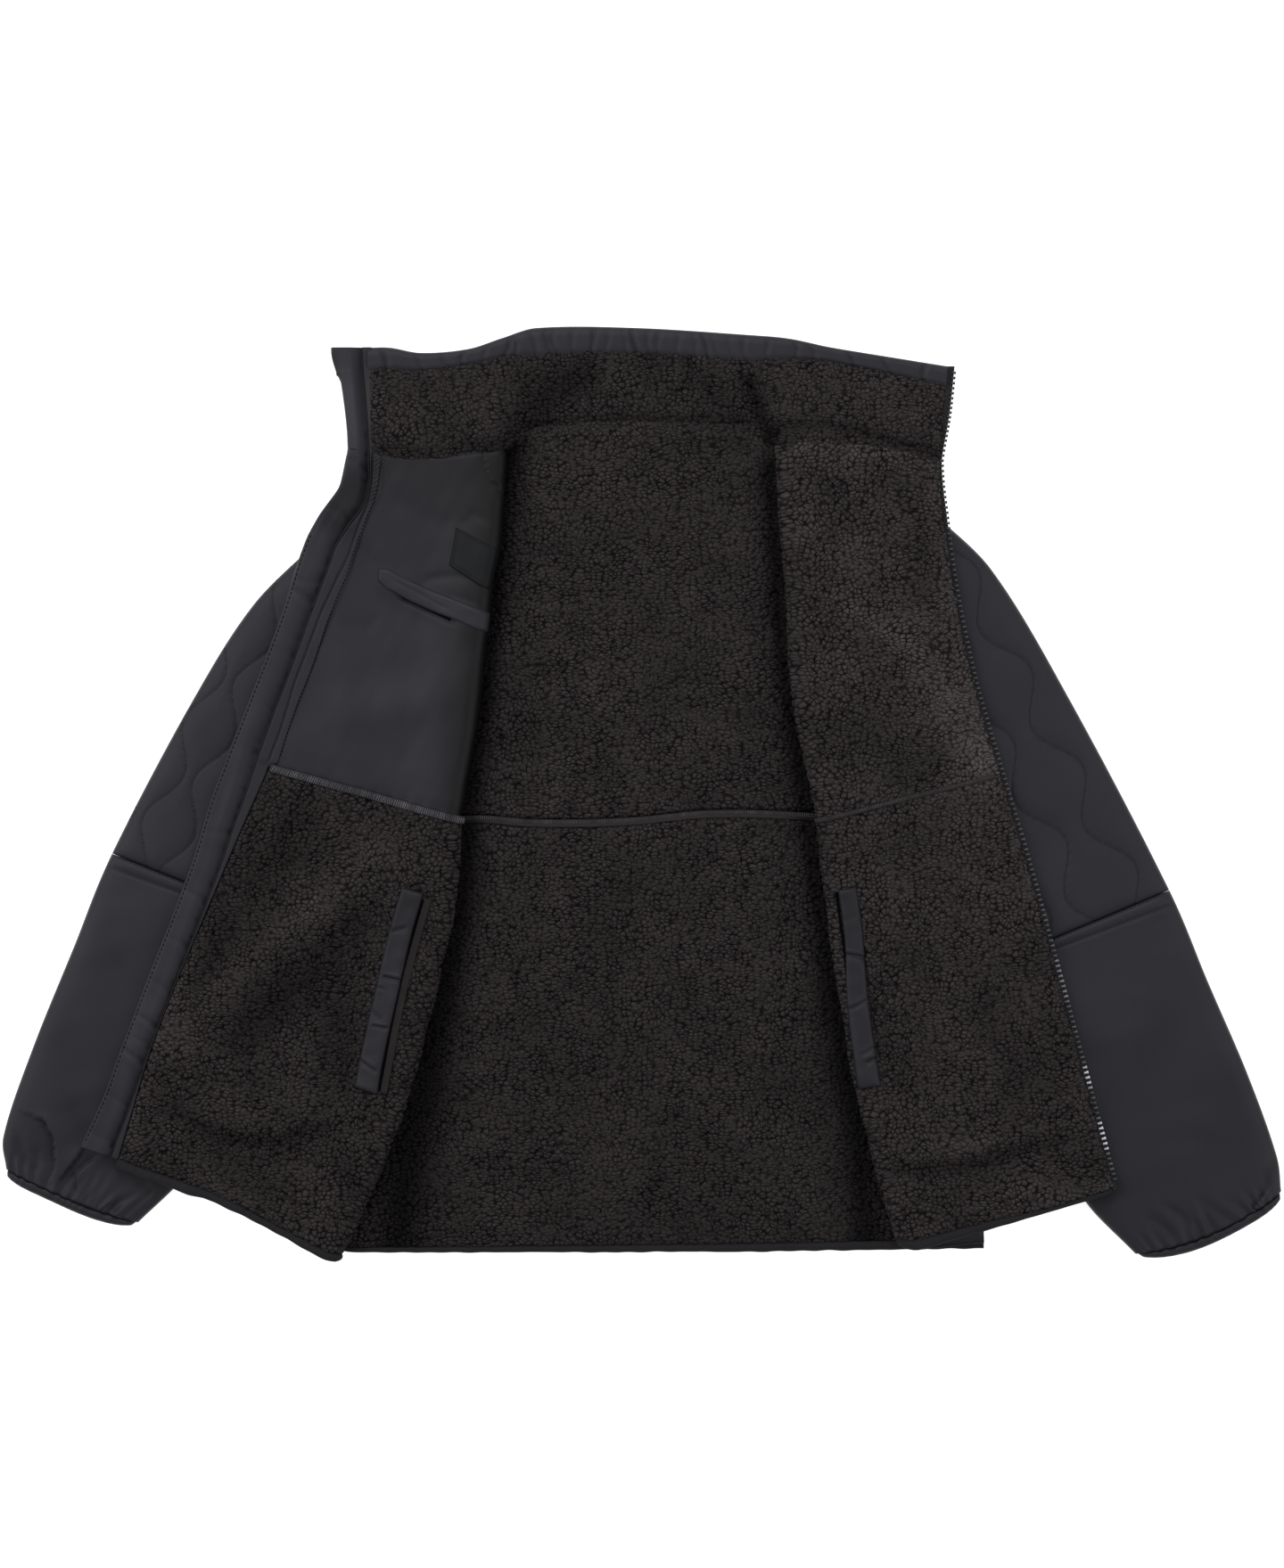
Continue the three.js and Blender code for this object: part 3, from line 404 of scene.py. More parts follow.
def scatter(i, seed):
    """The same uneven numbers from 0 to 1 each time, for a row of things."""
    return np.modf(np.abs(np.sin(np.asarray(i, float) * 12.9898 + seed * 78.233) * 43758.5453))[0]


def wander(x, y, size, seed):
    """Smooth uneven field from -1 to 1 over the plan."""
    total = 0
    for k in range(5):
        turn = 2 * math.pi * (scatter(k, seed))
        wave = (0.6 + 1.1 * scatter(k, seed + 7)) * 2 * math.pi / size
        shift = 6.28 * scatter(k, seed + 13)
        total = total + np.sin((x * math.cos(turn) + y * math.sin(turn)) * wave + shift)
    return total / 3


def along_chain(at, far, values):
    """What a chain's points hold at distances along it."""
    return np.column_stack([np.interp(at, far, column) for column in values.T])


def grid_normals(grid):
    across, along = np.gradient(grid, axis=1), np.gradient(grid, axis=0)
    return unit(np.cross(across, along))


def up_facing(normals):
    return normals * np.where(normals[..., 2:] < 0, -1, 1)


# The frame's own place for the tables' zero.
LOW_BACK, HIGH_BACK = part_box("back_shell")[:2]
SHIFT = np.array([
    LOW_BACK.x / MM - BACK_HEM[0][0],
    HIGH_BACK.y / MM - max(y for _, y in BACK_TOP),
    0.0,
])


# ---- the middle surfaces ----
CORNER = {"tall": {"right": 4.0, "left": 8.5}, "wide": 14, "fades": 60}  # the rounded hem corner at the fold


class Front:
    """A front from its side seam in over the back, round the roll and out again to its free edge."""

    def __init__(self, table, hand):
        self.hand = hand
        self.names = [row["at"] for row in table]
        self.places = lengths(column_of(table, "fold"))
        self.length = self.places[-1]
        self.side, self.fold, self.edge, self.bow = (
            track(self.places, column_of(table, key)) for key in ("side", "fold", "edge", "bow")
        )
        self.flap = lambda s: np.interp(s, self.places, column_of(table, "flap"))
        self.side_line = column_of(table, "side")
        self.sign = np.sign(self.side_line[0, 0])
        self.seam = self.at("seam")

    def at(self, name):
        return self.places[self.names.index(name)]

    def settled(self, p):
        """Height of the turned-back cloth once it has settled beside the roll."""
        side = np.interp(p[..., 1], self.side_line[:, 1], self.side_line[:, 0])
        inside = self.sign * (side - p[..., 0])
        flat = mix(ON_SLEEVE_Z, OVER_Z, ease((inside - SIDE_RAMP["start"]) / SIDE_RAMP["run"]))
        return flat, fold_rise(p)

    def base(self, s):
        edge, fold = self.edge(s), self.fold(s)
        r = mix(ROLL_R_NECK, ROLL_R, ease((self.length - s) / NECK_PINCH))
        out = unit(edge - fold)
        centre = fold + out * (r + LINING_OUT)[..., None]
        return centre, out, r, np.linalg.norm(edge - centre, axis=-1)

    def over(self, s, past):
        """Points of the turned-back part, for matching arrays of s and past."""
        s, past = np.broadcast_arrays(np.asarray(s, float), np.asarray(past, float))
        centre, out, r, reach = self.base(s)
        p = centre + out * past[..., None]
        p[..., 1] += self.bow(s) * np.sin(np.pi * np.clip(past / reach, 0, 1))
        flat, rise = self.settled(p)
        beside = ease(past / ROLL_EASE)
        lift = UNDER_Z + 2 * r
        z = flat + np.maximum(lift - flat, 0) * (1 - beside) + rise * beside
        return join([p, z[..., None]], axis=-1)

    def grid(self, s, under, roll, over, lean=0.0):
        """Middle surface, unrolled plan and distance past the roll, for rows s and three runs of columns:
        shares of the under-part, angles round the roll, shares of the turned-back part. The last may lean
        past the free edge by a distance for each row."""
        centre, out, r, reach = (v[:, None] for v in self.base(s))
        reach = reach + np.reshape(lean, (-1, 1))
        side = self.side(s)[:, None]
        rows = len(s)
        w = np.asarray(under)[None, :, None]
        low = join([mix(side, centre, w), np.full((rows, len(under), 1), UNDER_Z)], axis=-1)
        inner = np.linalg.norm(centre - side, axis=-1)
        past_low = -np.pi * r - inner * (1 - w[..., 0])
        a = np.asarray(roll)[None, :]
        turn = centre - out * (r * np.sin(a))[..., None]
        bend = join([turn, (UNDER_Z + r * (1 - np.cos(a)))[..., None]], axis=-1)
        past_bend = -r * (np.pi - a)
        past_over = reach * np.asarray(over)[None, :]
        top = self.over(s[:, None], past_over)
        grid = join([low, bend, top], axis=1)
        past = join([past_low, past_bend, past_over], axis=1)
        chart = centre + out * past[..., None]
        from_fold = join([r + inner * (1 - w[..., 0]), r * (1 - np.sin(a)), r + past_over], axis=1)[0]
        cut_back = 1 - rounded(from_fold, CORNER["wide"])
        lift = CORNER["tall"][self.hand] * cut_back
        for c in np.flatnonzero(lift > 0.02):
            at = s + lift[c] * np.clip(1 - s / CORNER["fades"], 0, 1)
            for values in (grid, chart):
                values[:, c] = along_chain(at, s, values[:, c])
        normals = grid_normals(grid)
        if normals[1, 1, 2] > 0:  # the lining's side looks down in the under-part
            normals = -normals
        return grid, normals, chart, past


def back_grid(low, high, u, w, lift=0.0):
    """The back between two cross lines, for shares u across and w up."""
    def line(points, smooth):
        points = np.array(points, float)
        share = (points[:, 0] - points[0, 0]) / (points[-1, 0] - points[0, 0])
        y = track(share, points[:, 1])(u) if smooth else np.interp(u, share, points[:, 1])
        return np.stack([mix(points[0, 0], points[-1, 0], u), y], axis=-1)

    a, b = line(low, low is not BACK_TOP), line(high, high is not BACK_TOP)
    p = mix(a[None], b[None], w[:, None, None])
    for k, (table, weight) in enumerate([(RIGHT_FRONT, 1 - u), (LEFT_FRONT, u)]):
        side = column_of(table, "side")
        ends = mix(np.array(low[-k], float), np.array(high[-k], float), w[:, None])
        offset = np.interp(ends[:, 1], side[:, 1], side[:, 0]) - ends[:, 0]
        p[..., 0] += weight[None] * offset[:, None]
    p[..., 1] += lift
    z = np.full(p.shape[:2] + (1,), BACK_Z)
    return join([p, z], axis=-1)


def neck_line(right, left):
    """Points along the neck seam, from the right free edge round the back to the left one."""
    def of_front(front):
        past = steps(0, 1, 0.12)
        _, _, _, reach = front.base(np.array(front.length))
        return front.over(np.full(len(past), front.length), past * reach)

    neck = np.array(BACK_TOP[BACK_NECK], float)
    back = np.column_stack([neck, np.full(len(neck), BACK_Z)])
    corners = join([of_front(right)[::-1], back, of_front(left)])
    return track(lengths(corners), corners), lengths(corners)[-1]


def collar_grid(seam, shares):
    """Collar over points of the neck seam. A share up to 1 runs from seam to rim, up to 2 across the rim."""
    x = column_of(COLLAR, "x")
    top = track(x, column_of(COLLAR, "top"))(np.clip(seam[:, 0], x[0], x[-1]))
    rim = np.interp(seam[:, 0], x, column_of(COLLAR, "rim"))
    lean = np.where(seam[:, 0] < 0, COLLAR_LEAN["right"], COLLAR_LEAN["left"])
    end = np.column_stack([seam[:, 0] * (1 + lean), top])
    height = top - seam[:, 1]
    share = np.asarray(shares)[:, None]
    t = np.where(share <= 1, share * (height - rim), height - rim + (share - 1) * rim) / height
    p = mix(seam[None, :, :2], end[None], t[..., None])
    z = mix(seam[None, :, 2], BACK_Z, ease(t / COLLAR_SETTLE))
    return join([p, z[..., None]], axis=-1)


class Sleeve:
    def __init__(self, table, side):
        outer, inner = column_of(table, "outer"), column_of(table, "inner")
        centres = (outer + inner) / 2
        self.side = side
        self.places = lengths(centres)
        self.outer, self.inner = track(self.places, outer), track(self.places, inner)
        self.high = track(self.places, column_of(table, "high"))
        self.elbow, self.cuff = self.places[ELBOW_ROW], self.places[-1]
        self.end = unit(centres[-1] - centres[-2])

    def rings(self, s, across):
        """Plan points at shares `across` (-1 at the outer edge, 1 at the inner) of the rings s."""
        outer, inner = self.outer(s)[:, None], self.inner(s)[:, None]
        across = np.asarray(across, float)[None, :, None]
        from_cuff = (self.cuff - np.asarray(s, float))[:, None, None]
        bow = CUFF_BOW[self.side] * (1 - across ** 2) * ease(1 - from_cuff / CUFF_BOW["reach"])
        return mix(outer, inner, (across + 1) / 2) + self.end * bow

    def half(self, s):
        return np.linalg.norm(self.inner(s) - self.outer(s), axis=-1) / 2

    def quilt_frame(self):
        at = QUILT[self.side]
        runs = unit(np.array(at["runs"], float))
        return at, runs, np.sign(runs[0]) * np.array([-runs[1], runs[0]])

    def quilting(self, p):
        """Distance from the nearest quilting line, and how far along the sleeve the point is."""
        at, runs, outward_way = self.quilt_frame()
        away = p[..., :2] - np.array(at["through"], float)
        along, aside = away @ runs, away @ outward_way
        turn = 2 * np.pi * (along - at["crest"]) / at["wave"]
        slope = 2 * np.pi * at["swing"] / at["wave"] * np.sin(turn)
        gaps = []
        for k in range(-7, 8):
            middle = k * at["pitch"] + (-1 if k % 2 else 1) * at["swing"] * np.cos(turn)
            gaps.append(np.abs(aside - middle) / np.hypot(1, slope))
        return np.min(gaps, axis=0), along

    def quilt_path(self, k, along):
        """Plan points of quilting line k."""
        at, runs, outward_way = self.quilt_frame()
        turn = 2 * np.pi * (along - at["crest"]) / at["wave"]
        middle = k * at["pitch"] + (-1 if k % 2 else 1) * at["swing"] * np.cos(turn)
        return np.array(at["through"], float) + along[:, None] * runs + middle[:, None] * outward_way


RIGHT = Front(RIGHT_FRONT, "right")
LEFT = Front(LEFT_FRONT, "left")
NECK, NECK_LENGTH = neck_line(RIGHT, LEFT)
RIGHT_ARM = Sleeve(RIGHT_SLEEVE, "right")
LEFT_ARM = Sleeve(LEFT_SLEEVE, "left")


# ---- shader and geometry node helpers ----
class Nodes:
    """Short ways to add nodes to one tree, of a material, a shader group or a geometry group."""

    def __init__(self, tree):
        self.tree = tree

    def add(self, kind, inputs=(), **settings):
        node = self.tree.nodes.new(kind)
        for key, value in settings.items():
            setattr(node, key, value)
        for key, value in dict(inputs).items():
            self.put(node.inputs[key], value)
        return node

    def give(self, node, **values):
        for key, value in values.items():
            self.put(node.inputs[key], value)

    def put(self, socket, value):
        if isinstance(value, bpy.types.NodeSocket):
            self.tree.links.new(value, socket)
        else:
            socket.default_value = value

    def math(self, operation, *values, clamp=False):
        node = self.add("ShaderNodeMath", operation=operation, use_clamp=clamp)
        for socket, value in zip(node.inputs, values):
            self.put(socket, value)
        return node.outputs[0]

    def vector(self, operation, *values):
        node = self.add("ShaderNodeVectorMath", operation=operation)
        for socket, value in zip(node.inputs, values):
            self.put(socket, value)
        return node.outputs[0]

    def scaled(self, vector, share):
        node = self.add("ShaderNodeVectorMath", operation="SCALE")
        self.put(node.inputs[0], vector)
        self.put(node.inputs["Scale"], share)
        return node.outputs[0]

    def field(self, name, output="Fac"):
        """A field stored on the mesh, read by a material."""
        return self.add("ShaderNodeAttribute", attribute_name=name).outputs[output]

    def noise(self, vector, scale, detail=2.0, roughness=0.5, output="Fac"):
        node = self.add("ShaderNodeTexNoise", {
            "Vector": vector, "Scale": scale, "Detail": detail, "Roughness": roughness,
        })
        return node.outputs[output]

    def ranged(self, value, low, high, to_low=0.0, to_high=1.0, kind="SMOOTHSTEP"):
        node = self.add("ShaderNodeMapRange", {
            "Value": value, "From Min": low, "From Max": high, "To Min": to_low, "To Max": to_high,
        }, interpolation_type=kind)
        return node.outputs["Result"]

    def colour_mix(self, share, a, b):
        node = self.add("ShaderNodeMix", data_type="RGBA")
        self.put(node.inputs["Factor"], share)
        self.put(node.inputs[6], a)
        self.put(node.inputs[7], b)
        return node.outputs[2]


def node_group(name, kind, inputs, outputs):
    """An empty node group with named sockets, and its input and output nodes."""
    tree = bpy.data.node_groups.new(name, kind)
    for label, socket, default in inputs:
        made = tree.interface.new_socket(name=label, in_out="INPUT", socket_type=socket)
        if default is not None:
            made.default_value = default
    for label, socket in outputs:
        tree.interface.new_socket(name=label, in_out="OUTPUT", socket_type=socket)
    nodes = Nodes(tree)
    return nodes, nodes.add("NodeGroupInput"), nodes.add("NodeGroupOutput")


FLOAT, VECTOR, GEOMETRY = "NodeSocketFloat", "NodeSocketVector", "NodeSocketGeometry"
CURL = {"rise": 2.6, "sunk": 1.7}


def wool_curls(kind):
    """Height and crevices of the curled pile over its unrolled plan in millimetres, as a shader or a
    geometry group. Brushed goes from loose round curls at 0 to small combed ones at 1."""
    n, inp, out = node_group(f"wool_curls_{kind[:6].lower()}", kind, [
        ("Plan", VECTOR, None), ("Brushed", FLOAT, 0.0),
    ], [("Height", FLOAT), ("Dome", FLOAT), ("Crevice", FLOAT)])
    plan, brushed = inp.outputs["Plan"], inp.outputs["Brushed"]

    def shaken(vector, scale, amount):
        away = n.vector("SUBTRACT", n.noise(vector, scale, 1.0, output="Color"), (0.5, 0.5, 0.5))
        return n.vector("ADD", vector, n.vector("MULTIPLY", away, (amount, amount, 0.0)))

    warped = shaken(shaken(plan, 0.045, 9.0), 0.33, 2.0)

    def cells(across, along, feature, vector=warped):
        sized = n.vector("MULTIPLY", vector, (1 / across, 1 / along, 0.0))
        node = n.add("ShaderNodeTexVoronoi", {"Vector": sized, "Scale": 1.0, "Randomness": 0.95},
                     voronoi_dimensions="2D", feature=feature)
        return node.outputs["Distance"]

    def crack(across, along, wide, low, high, place, vector=warped):
        """Narrow cracks between cells, fading in and out over the cloth."""
        line = n.ranged(cells(across, along, "DISTANCE_TO_EDGE", vector), 0.0, wide, 1.0, 0.0)
        return n.math("MULTIPLY", line, n.ranged(n.noise(plan, place, 1.0), 0.36, 0.62, low, high))

    def dome(across, along):
        reach = n.math("DIVIDE", cells(across, along, "F1"), 0.72)
        return n.math("SQRT", n.math("SUBTRACT", 1.0, n.math("MULTIPLY", reach, reach), clamp=True))

    loose = dome(3.8, 3.1)
    combed = dome(4.5, 2.5)
    round_top = n.add("ShaderNodeMix", {0: brushed, 2: loose, 3: combed}).outputs[0]
    crack_loose = crack(3.8, 3.1, 0.27, 0.62, 1.0, 0.09)
    crack_combed = crack(4.5, 2.5, 0.28, 0.62, 1.0, 0.07)
    fine = n.add("ShaderNodeMix", {0: brushed, 2: crack_loose, 3: crack_combed}).outputs[0]
    deep = crack(13.0, 8.0, 0.08, 0.0, 1.0, 0.05)
    small = n.math("MULTIPLY", crack(2.3, 1.5, 0.3, 0.2, 0.8, 0.12), 0.5)
    crevice = n.math("MAXIMUM", n.math("MAXIMUM", fine, deep), small, clamp=True)
    height = n.math("SUBTRACT", round_top, n.math("MULTIPLY", crevice, 0.45))
    n.give(out, Height=height, Dome=round_top, Crevice=crevice)
    return n.tree


def curl_shaper():
    """Geometry group that raises the pile along its stored way out."""
    n, inp, out = node_group("raise_pile", "GeometryNodeTree", [("Geometry", GEOMETRY, None)],
                             [("Geometry", GEOMETRY)])

    def stored(name, kind):
        node = n.add("GeometryNodeInputNamedAttribute", data_type=kind)
        node.inputs["Name"].default_value = name
        return node.outputs["Attribute"]

    curls = n.add("GeometryNodeGroup", node_tree=wool_curls("GeometryNodeTree"))
    n.put(curls.inputs["Plan"], stored("plan", "FLOAT_VECTOR"))
    n.put(curls.inputs["Brushed"], stored("brushed", "FLOAT"))
    rise = n.math("SUBTRACT", n.math("MULTIPLY", curls.outputs["Dome"], CURL["rise"]), CURL["sunk"])
    rise = n.math("MULTIPLY", rise, n.math("MULTIPLY", stored("pile", "FLOAT"), MM))
    move = n.scaled(stored("way_out", "FLOAT_VECTOR"), rise)
    place = n.add("GeometryNodeSetPosition", {"Geometry": inp.outputs[0], "Offset": move})
    n.put(out.inputs[0], place.outputs[0])
    return n.tree


def cloth_weave():
    """Fine weave and slow shade of a woven or knitted cloth, in object metres."""
    n, inp, out = node_group("cloth_weave", "ShaderNodeTree", [
        ("Thread Size", FLOAT, 0.5), ("Shade Size", FLOAT, 60.0), ("Shade Depth", FLOAT, 0.12),
    ], [("Height", FLOAT), ("Shade", FLOAT)])
    mm = n.scaled(n.add("ShaderNodeTexCoord").outputs["Object"], 1 / MM)
    axes = n.add("ShaderNodeSeparateXYZ", {"Vector": mm})
    turn = n.math("DIVIDE", 2 * math.pi, inp.outputs["Thread Size"])
    warp = n.math("SINE", n.math("MULTIPLY", axes.outputs["X"], turn))
    weft = n.math("SINE", n.math("MULTIPLY", axes.outputs["Y"], turn))
    cross = n.math("MULTIPLY", warp, weft)
    fuzz = n.noise(mm, 1.6, 2.0)
    height = n.math("ADD", n.math("MULTIPLY", cross, 0.35), fuzz)
    slow = n.noise(mm, n.math("DIVIDE", 1.0, inp.outputs["Shade Size"]), 3.0)
    shade = n.math("MULTIPLY", n.math("SUBTRACT", slow, 0.5), inp.outputs["Shade Depth"])
    n.give(out, Height=height, Shade=n.math("ADD", 1.0, n.math("MULTIPLY", shade, 4.0)))
    return n.tree


# ---- materials ----
def new_material(name, **constants):
    material = bpy.data.materials.new(name)
    material.use_nodes = True
    n = Nodes(material.node_tree)
    shader = next(node for node in n.tree.nodes if node.type == "BSDF_PRINCIPLED")
    for key, value in constants.items():
        shader.inputs[key.replace("_", " ")].default_value = value
    return material, n, shader


def finished(n, shader, colour, strength, height, bump_strength, bump_far):
    """Gives a shader its colour, scaled by a strength, and its bumps."""
    n.put(shader.inputs["Base Color"], n.scaled(colour, strength))
    bump = n.add("ShaderNodeBump", {"Height": height, "Strength": bump_strength, "Distance": bump_far * MM})
    n.put(shader.inputs["Normal"], bump.outputs[0])


def fleece_material(curls):
    material, n, shader = new_material("curly_fleece", Roughness=0.95, Specular_IOR_Level=0.04)
    plan = n.field("plan", "Vector")
    pile = n.add("ShaderNodeGroup", node_tree=curls)
    n.put(pile.inputs["Plan"], plan)
    n.put(pile.inputs["Brushed"], n.field("brushed"))
    slow = n.ranged(n.noise(plan, 0.02, 3.0), 0.3, 0.7)
    wool = n.colour_mix(slow, (0.0232, 0.02, 0.0202, 1), (0.029, 0.025, 0.0254, 1))
    # Painted shade in the crevices between the curls and painted light on their round tops; the stored tone
    # field scales the colour too and carries painted shade and light.
    sunk = n.ranged(pile.outputs["Crevice"], 0.0, 1.0, 1.0, 0.2, "LINEAR")
    lit = n.ranged(pile.outputs["Dome"], 0.3, 0.95, 0.68, 1.17)
    fibre = n.ranged(n.noise(plan, 1.3, 3.0), 0.3, 0.7, 0.7, 1.3, "LINEAR")
    strength = n.math("MULTIPLY", n.math("MULTIPLY", lit, sunk), n.math("MULTIPLY", fibre, n.field("tone")))
    height = n.math("ADD", pile.outputs["Height"], n.math("MULTIPLY", fibre, 0.22))
    finished(n, shader, wool, strength, height, 0.8, 1.4)
    return material


def cloth_material(name, dark, light, thread, bump, roughness, shine, shade_size=60, depth=0.12):
    """A woven or knitted cloth between two tones."""
    material, n, shader = new_material(name, Roughness=roughness, Specular_IOR_Level=shine)
    cloth = n.add("ShaderNodeGroup", node_tree=WEAVE)
    for key, value in (("Thread Size", thread), ("Shade Size", shade_size), ("Shade Depth", depth)):
        cloth.inputs[key].default_value = value
    share = n.ranged(cloth.outputs["Shade"], 0.8, 1.2, kind="LINEAR")
    colour = n.colour_mix(share, (*dark, 1), (*light, 1))
    # The stored tone field scales the colour: uneven tone, and painted shade and light where a piece carries
    # them.
    finished(n, shader, colour, n.field("tone"), cloth.outputs["Height"], bump, 0.3)
    return material


CURLS = wool_curls("ShaderNodeTree")
WEAVE = cloth_weave()
PILE_SHAPER = curl_shaper()
FLEECE = fleece_material(CURLS)
NYLON = cloth_material("nylon_shell", (0.0127, 0.0121, 0.0163), (0.0168, 0.0161, 0.021), 0.5, 0.1, 0.55, 0.18)
BINDING = cloth_material("knit_binding", (0.0085, 0.0083, 0.0098), (0.0125, 0.0122, 0.0138), 0.9, 0.35, 0.8,
                         0.12, 20)
TAPE = cloth_material("zip_tape", (0.009, 0.0095, 0.011), (0.0135, 0.014, 0.0155), 0.8, 0.4, 0.75, 0.15, 15)
PATCH = cloth_material("patch_leather", (0.0036, 0.0041, 0.0054), (0.0048, 0.0054, 0.0067), 0.6, 0.25, 0.6,
                       0.15, 9)
THREAD = cloth_material("sewing_thread", (0.012, 0.0125, 0.015), (0.02, 0.0205, 0.0235), 0.4, 0.3, 0.6,
                        0.2, 4)
KNIT_EDGE = cloth_material("knit_edge", (0.02, 0.017, 0.0172), (0.03, 0.0262, 0.0262), 0.9, 0.5, 0.9, 0.1, 9)
# Near-black: the dark thread of some stitches, and a sheet of painted shade laid in the pocket openings.
DARK_THREAD_AND_SHADE = cloth_material("pocket_bag", (0.0012, 0.0012, 0.0015), (0.002, 0.002, 0.0024), 0.6, 0.2, 0.9, 0.03)
GREY_THREAD = cloth_material("overlock_thread", (0.09, 0.088, 0.1), (0.16, 0.156, 0.172), 0.4, 0.3, 0.6,
                             0.2, 5)
TEETH = cloth_material("moulded_teeth", (0.2, 0.205, 0.225), (0.26, 0.265, 0.285), 1.2, 0.05, 0.3,
                       0.3, 30, 0.3)


# ---- meshes ----
def make_piece(name, points, polygons, material, fields=()):
    """A mesh object from points in table millimetres and a list of equal-sided polygon arrays."""
    # Every piece holds a tone field, 1 unless given, which scales its colour; it carries uneven tone and
    # painted shade and light.
    fields = {"tone": np.ones(len(np.asarray(points).reshape(-1, 3))), **dict(fields)}
    points = (np.asarray(points, float).reshape(-1, 3) + SHIFT) * MM
    corners = join([np.asarray(p).ravel() for p in polygons]).astype(np.int32)
    counts = join([np.full(len(p), np.asarray(p).shape[1]) for p in polygons]).astype(np.int32)
    mesh = bpy.data.meshes.new(name)
    mesh.vertices.add(len(points))
    mesh.vertices.foreach_set("co", points.ravel().astype(np.float32))
    mesh.loops.add(len(corners))
    mesh.loops.foreach_set("vertex_index", corners)
    mesh.polygons.add(len(counts))
    mesh.polygons.foreach_set("loop_start", join([[0], np.cumsum(counts)[:-1]]).astype(np.int32))
    mesh.polygons.foreach_set("loop_total", counts)
    mesh.polygons.foreach_set("use_smooth", np.ones(len(counts), bool))
    mesh.update(calc_edges=True)
    mesh.validate()
    for label, values in fields.items():
        values = np.asarray(values, np.float32)
        kind, key = ("FLOAT", "value") if values.ndim == 1 else ("FLOAT_VECTOR", "vector")
        mesh.attributes.new(label, kind, "POINT").data.foreach_set(key, values.ravel())
    mesh.materials.append(material)
    piece = bpy.data.objects.new(name, mesh)
    bpy.context.scene.collection.objects.link(piece)
    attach(piece, "root")
    return piece


def quads(rows, cols, first=0):
    i = first + np.arange(rows * cols).reshape(rows, cols)
    return np.stack([i[:-1, :-1], i[:-1, 1:], i[1:, 1:], i[1:, :-1]], axis=-1).reshape(-1, 4)


def signed_volume(points, polygons):
    total = 0.0
    for faces in polygons:
        corner = points[faces]
        for k in range(1, faces.shape[1] - 1):
            total += np.einsum("ij,ij->", corner[:, 0], np.cross(corner[:, k], corner[:, k + 1]))
    return total


def outward(points, polygons):
    return polygons if signed_volume(points, polygons) > 0 else [faces[:, ::-1] for faces in polygons]


def slab(low, high, skip=1):
    """Closed wall between two grids of points, with only every skip-th row and column of the low one."""
    rows, cols = high.shape[:2]
    keep_r = np.unique([*range(0, rows, skip), rows - 1])
    keep_c = np.unique([*range(0, cols, skip), cols - 1])
    bottom = low[np.ix_(keep_r, keep_c)]
    points = join([high.reshape(-1, 3), bottom.reshape(-1, 3)])
    top = np.arange(rows * cols).reshape(rows, cols)
    under = rows * cols + np.arange(len(keep_r) * len(keep_c)).reshape(len(keep_r), len(keep_c))
    faces = {}

    def add(loop):
        faces.setdefault(len(loop), []).append(loop)

    def skirt(fine, coarse, kept):
        for j in range(len(kept) - 1):
            run = fine[kept[j]:kept[j + 1] + 1]
            add([*run[::-1], coarse[j], coarse[j + 1]])

    skirt(top[0], under[0], keep_c)
    skirt(top[:, -1], under[:, -1], keep_r)
    skirt(top[-1][::-1], under[-1][::-1], (cols - 1 - keep_c)[::-1])
    skirt(top[:, 0][::-1], under[:, 0][::-1], (rows - 1 - keep_r)[::-1])
    polygons = [quads(rows, cols), quads(len(keep_r), len(keep_c), rows * cols)[:, ::-1]]
    polygons += [np.array(group) for group in faces.values()]
    return points, outward(points, polygons)


def tube(outer, inner):
    """Closed wall between two runs of rings, the same number of points in each ring."""
    n = outer.shape[1]
    points = join([outer.reshape(-1, 3), inner.reshape(-1, 3)])
    k = np.arange(n)
    nxt = (k + 1) % n

    def band(a, b):
        return np.stack([a[k], a[nxt], b[nxt], b[k]], axis=-1)

    out = np.arange(outer.shape[0] * n).reshape(-1, n)
    inn = out.size + np.arange(inner.shape[0] * n).reshape(-1, n)
    walls = [band(out[r], out[r + 1]) for r in range(len(out) - 1)]
    walls += [band(inn[r + 1], inn[r]) for r in range(len(inn) - 1)]
    walls += [band(inn[0], out[0]), band(out[-1], inn[-1])]
    return points, outward(points, [join(walls)])


def ring_faces(count, sides):
    """Faces between rings of points, and the two end caps."""
    ring = np.arange(count * sides).reshape(count, sides)
    walls = [np.stack([a, np.roll(a, -1), np.roll(b, -1), b], axis=-1) for a, b in zip(ring, ring[1:])]
    return [join(walls), np.stack([ring[0][::-1], ring[-1]])]


def area_of(grid):
    """Area of a grid of points in square metres."""
    a, b, c, d = grid[:-1, :-1], grid[:-1, 1:], grid[1:, 1:], grid[1:, :-1]
    one = np.linalg.norm(np.cross(b - a, c - a), axis=-1)
    two = np.linalg.norm(np.cross(c - a, d - a), axis=-1)
    return float((one + two).sum() / 2) * MM * MM


# What is narrower or thinner than that is declared at these floors, so its declared size is NOT its true one.
LEAST_SIDE = 0.0105


def closed(rings):
    return join([rings, rings[:, :1]], axis=1)


def stand_in(piece):
    """A piece named _cloth, _pile or _band stands in for the solid that the rest of its name says."""
    node, _, kind = piece.name.rpartition("_")
    if kind in ("cloth", "pile", "band"):
        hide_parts(node)


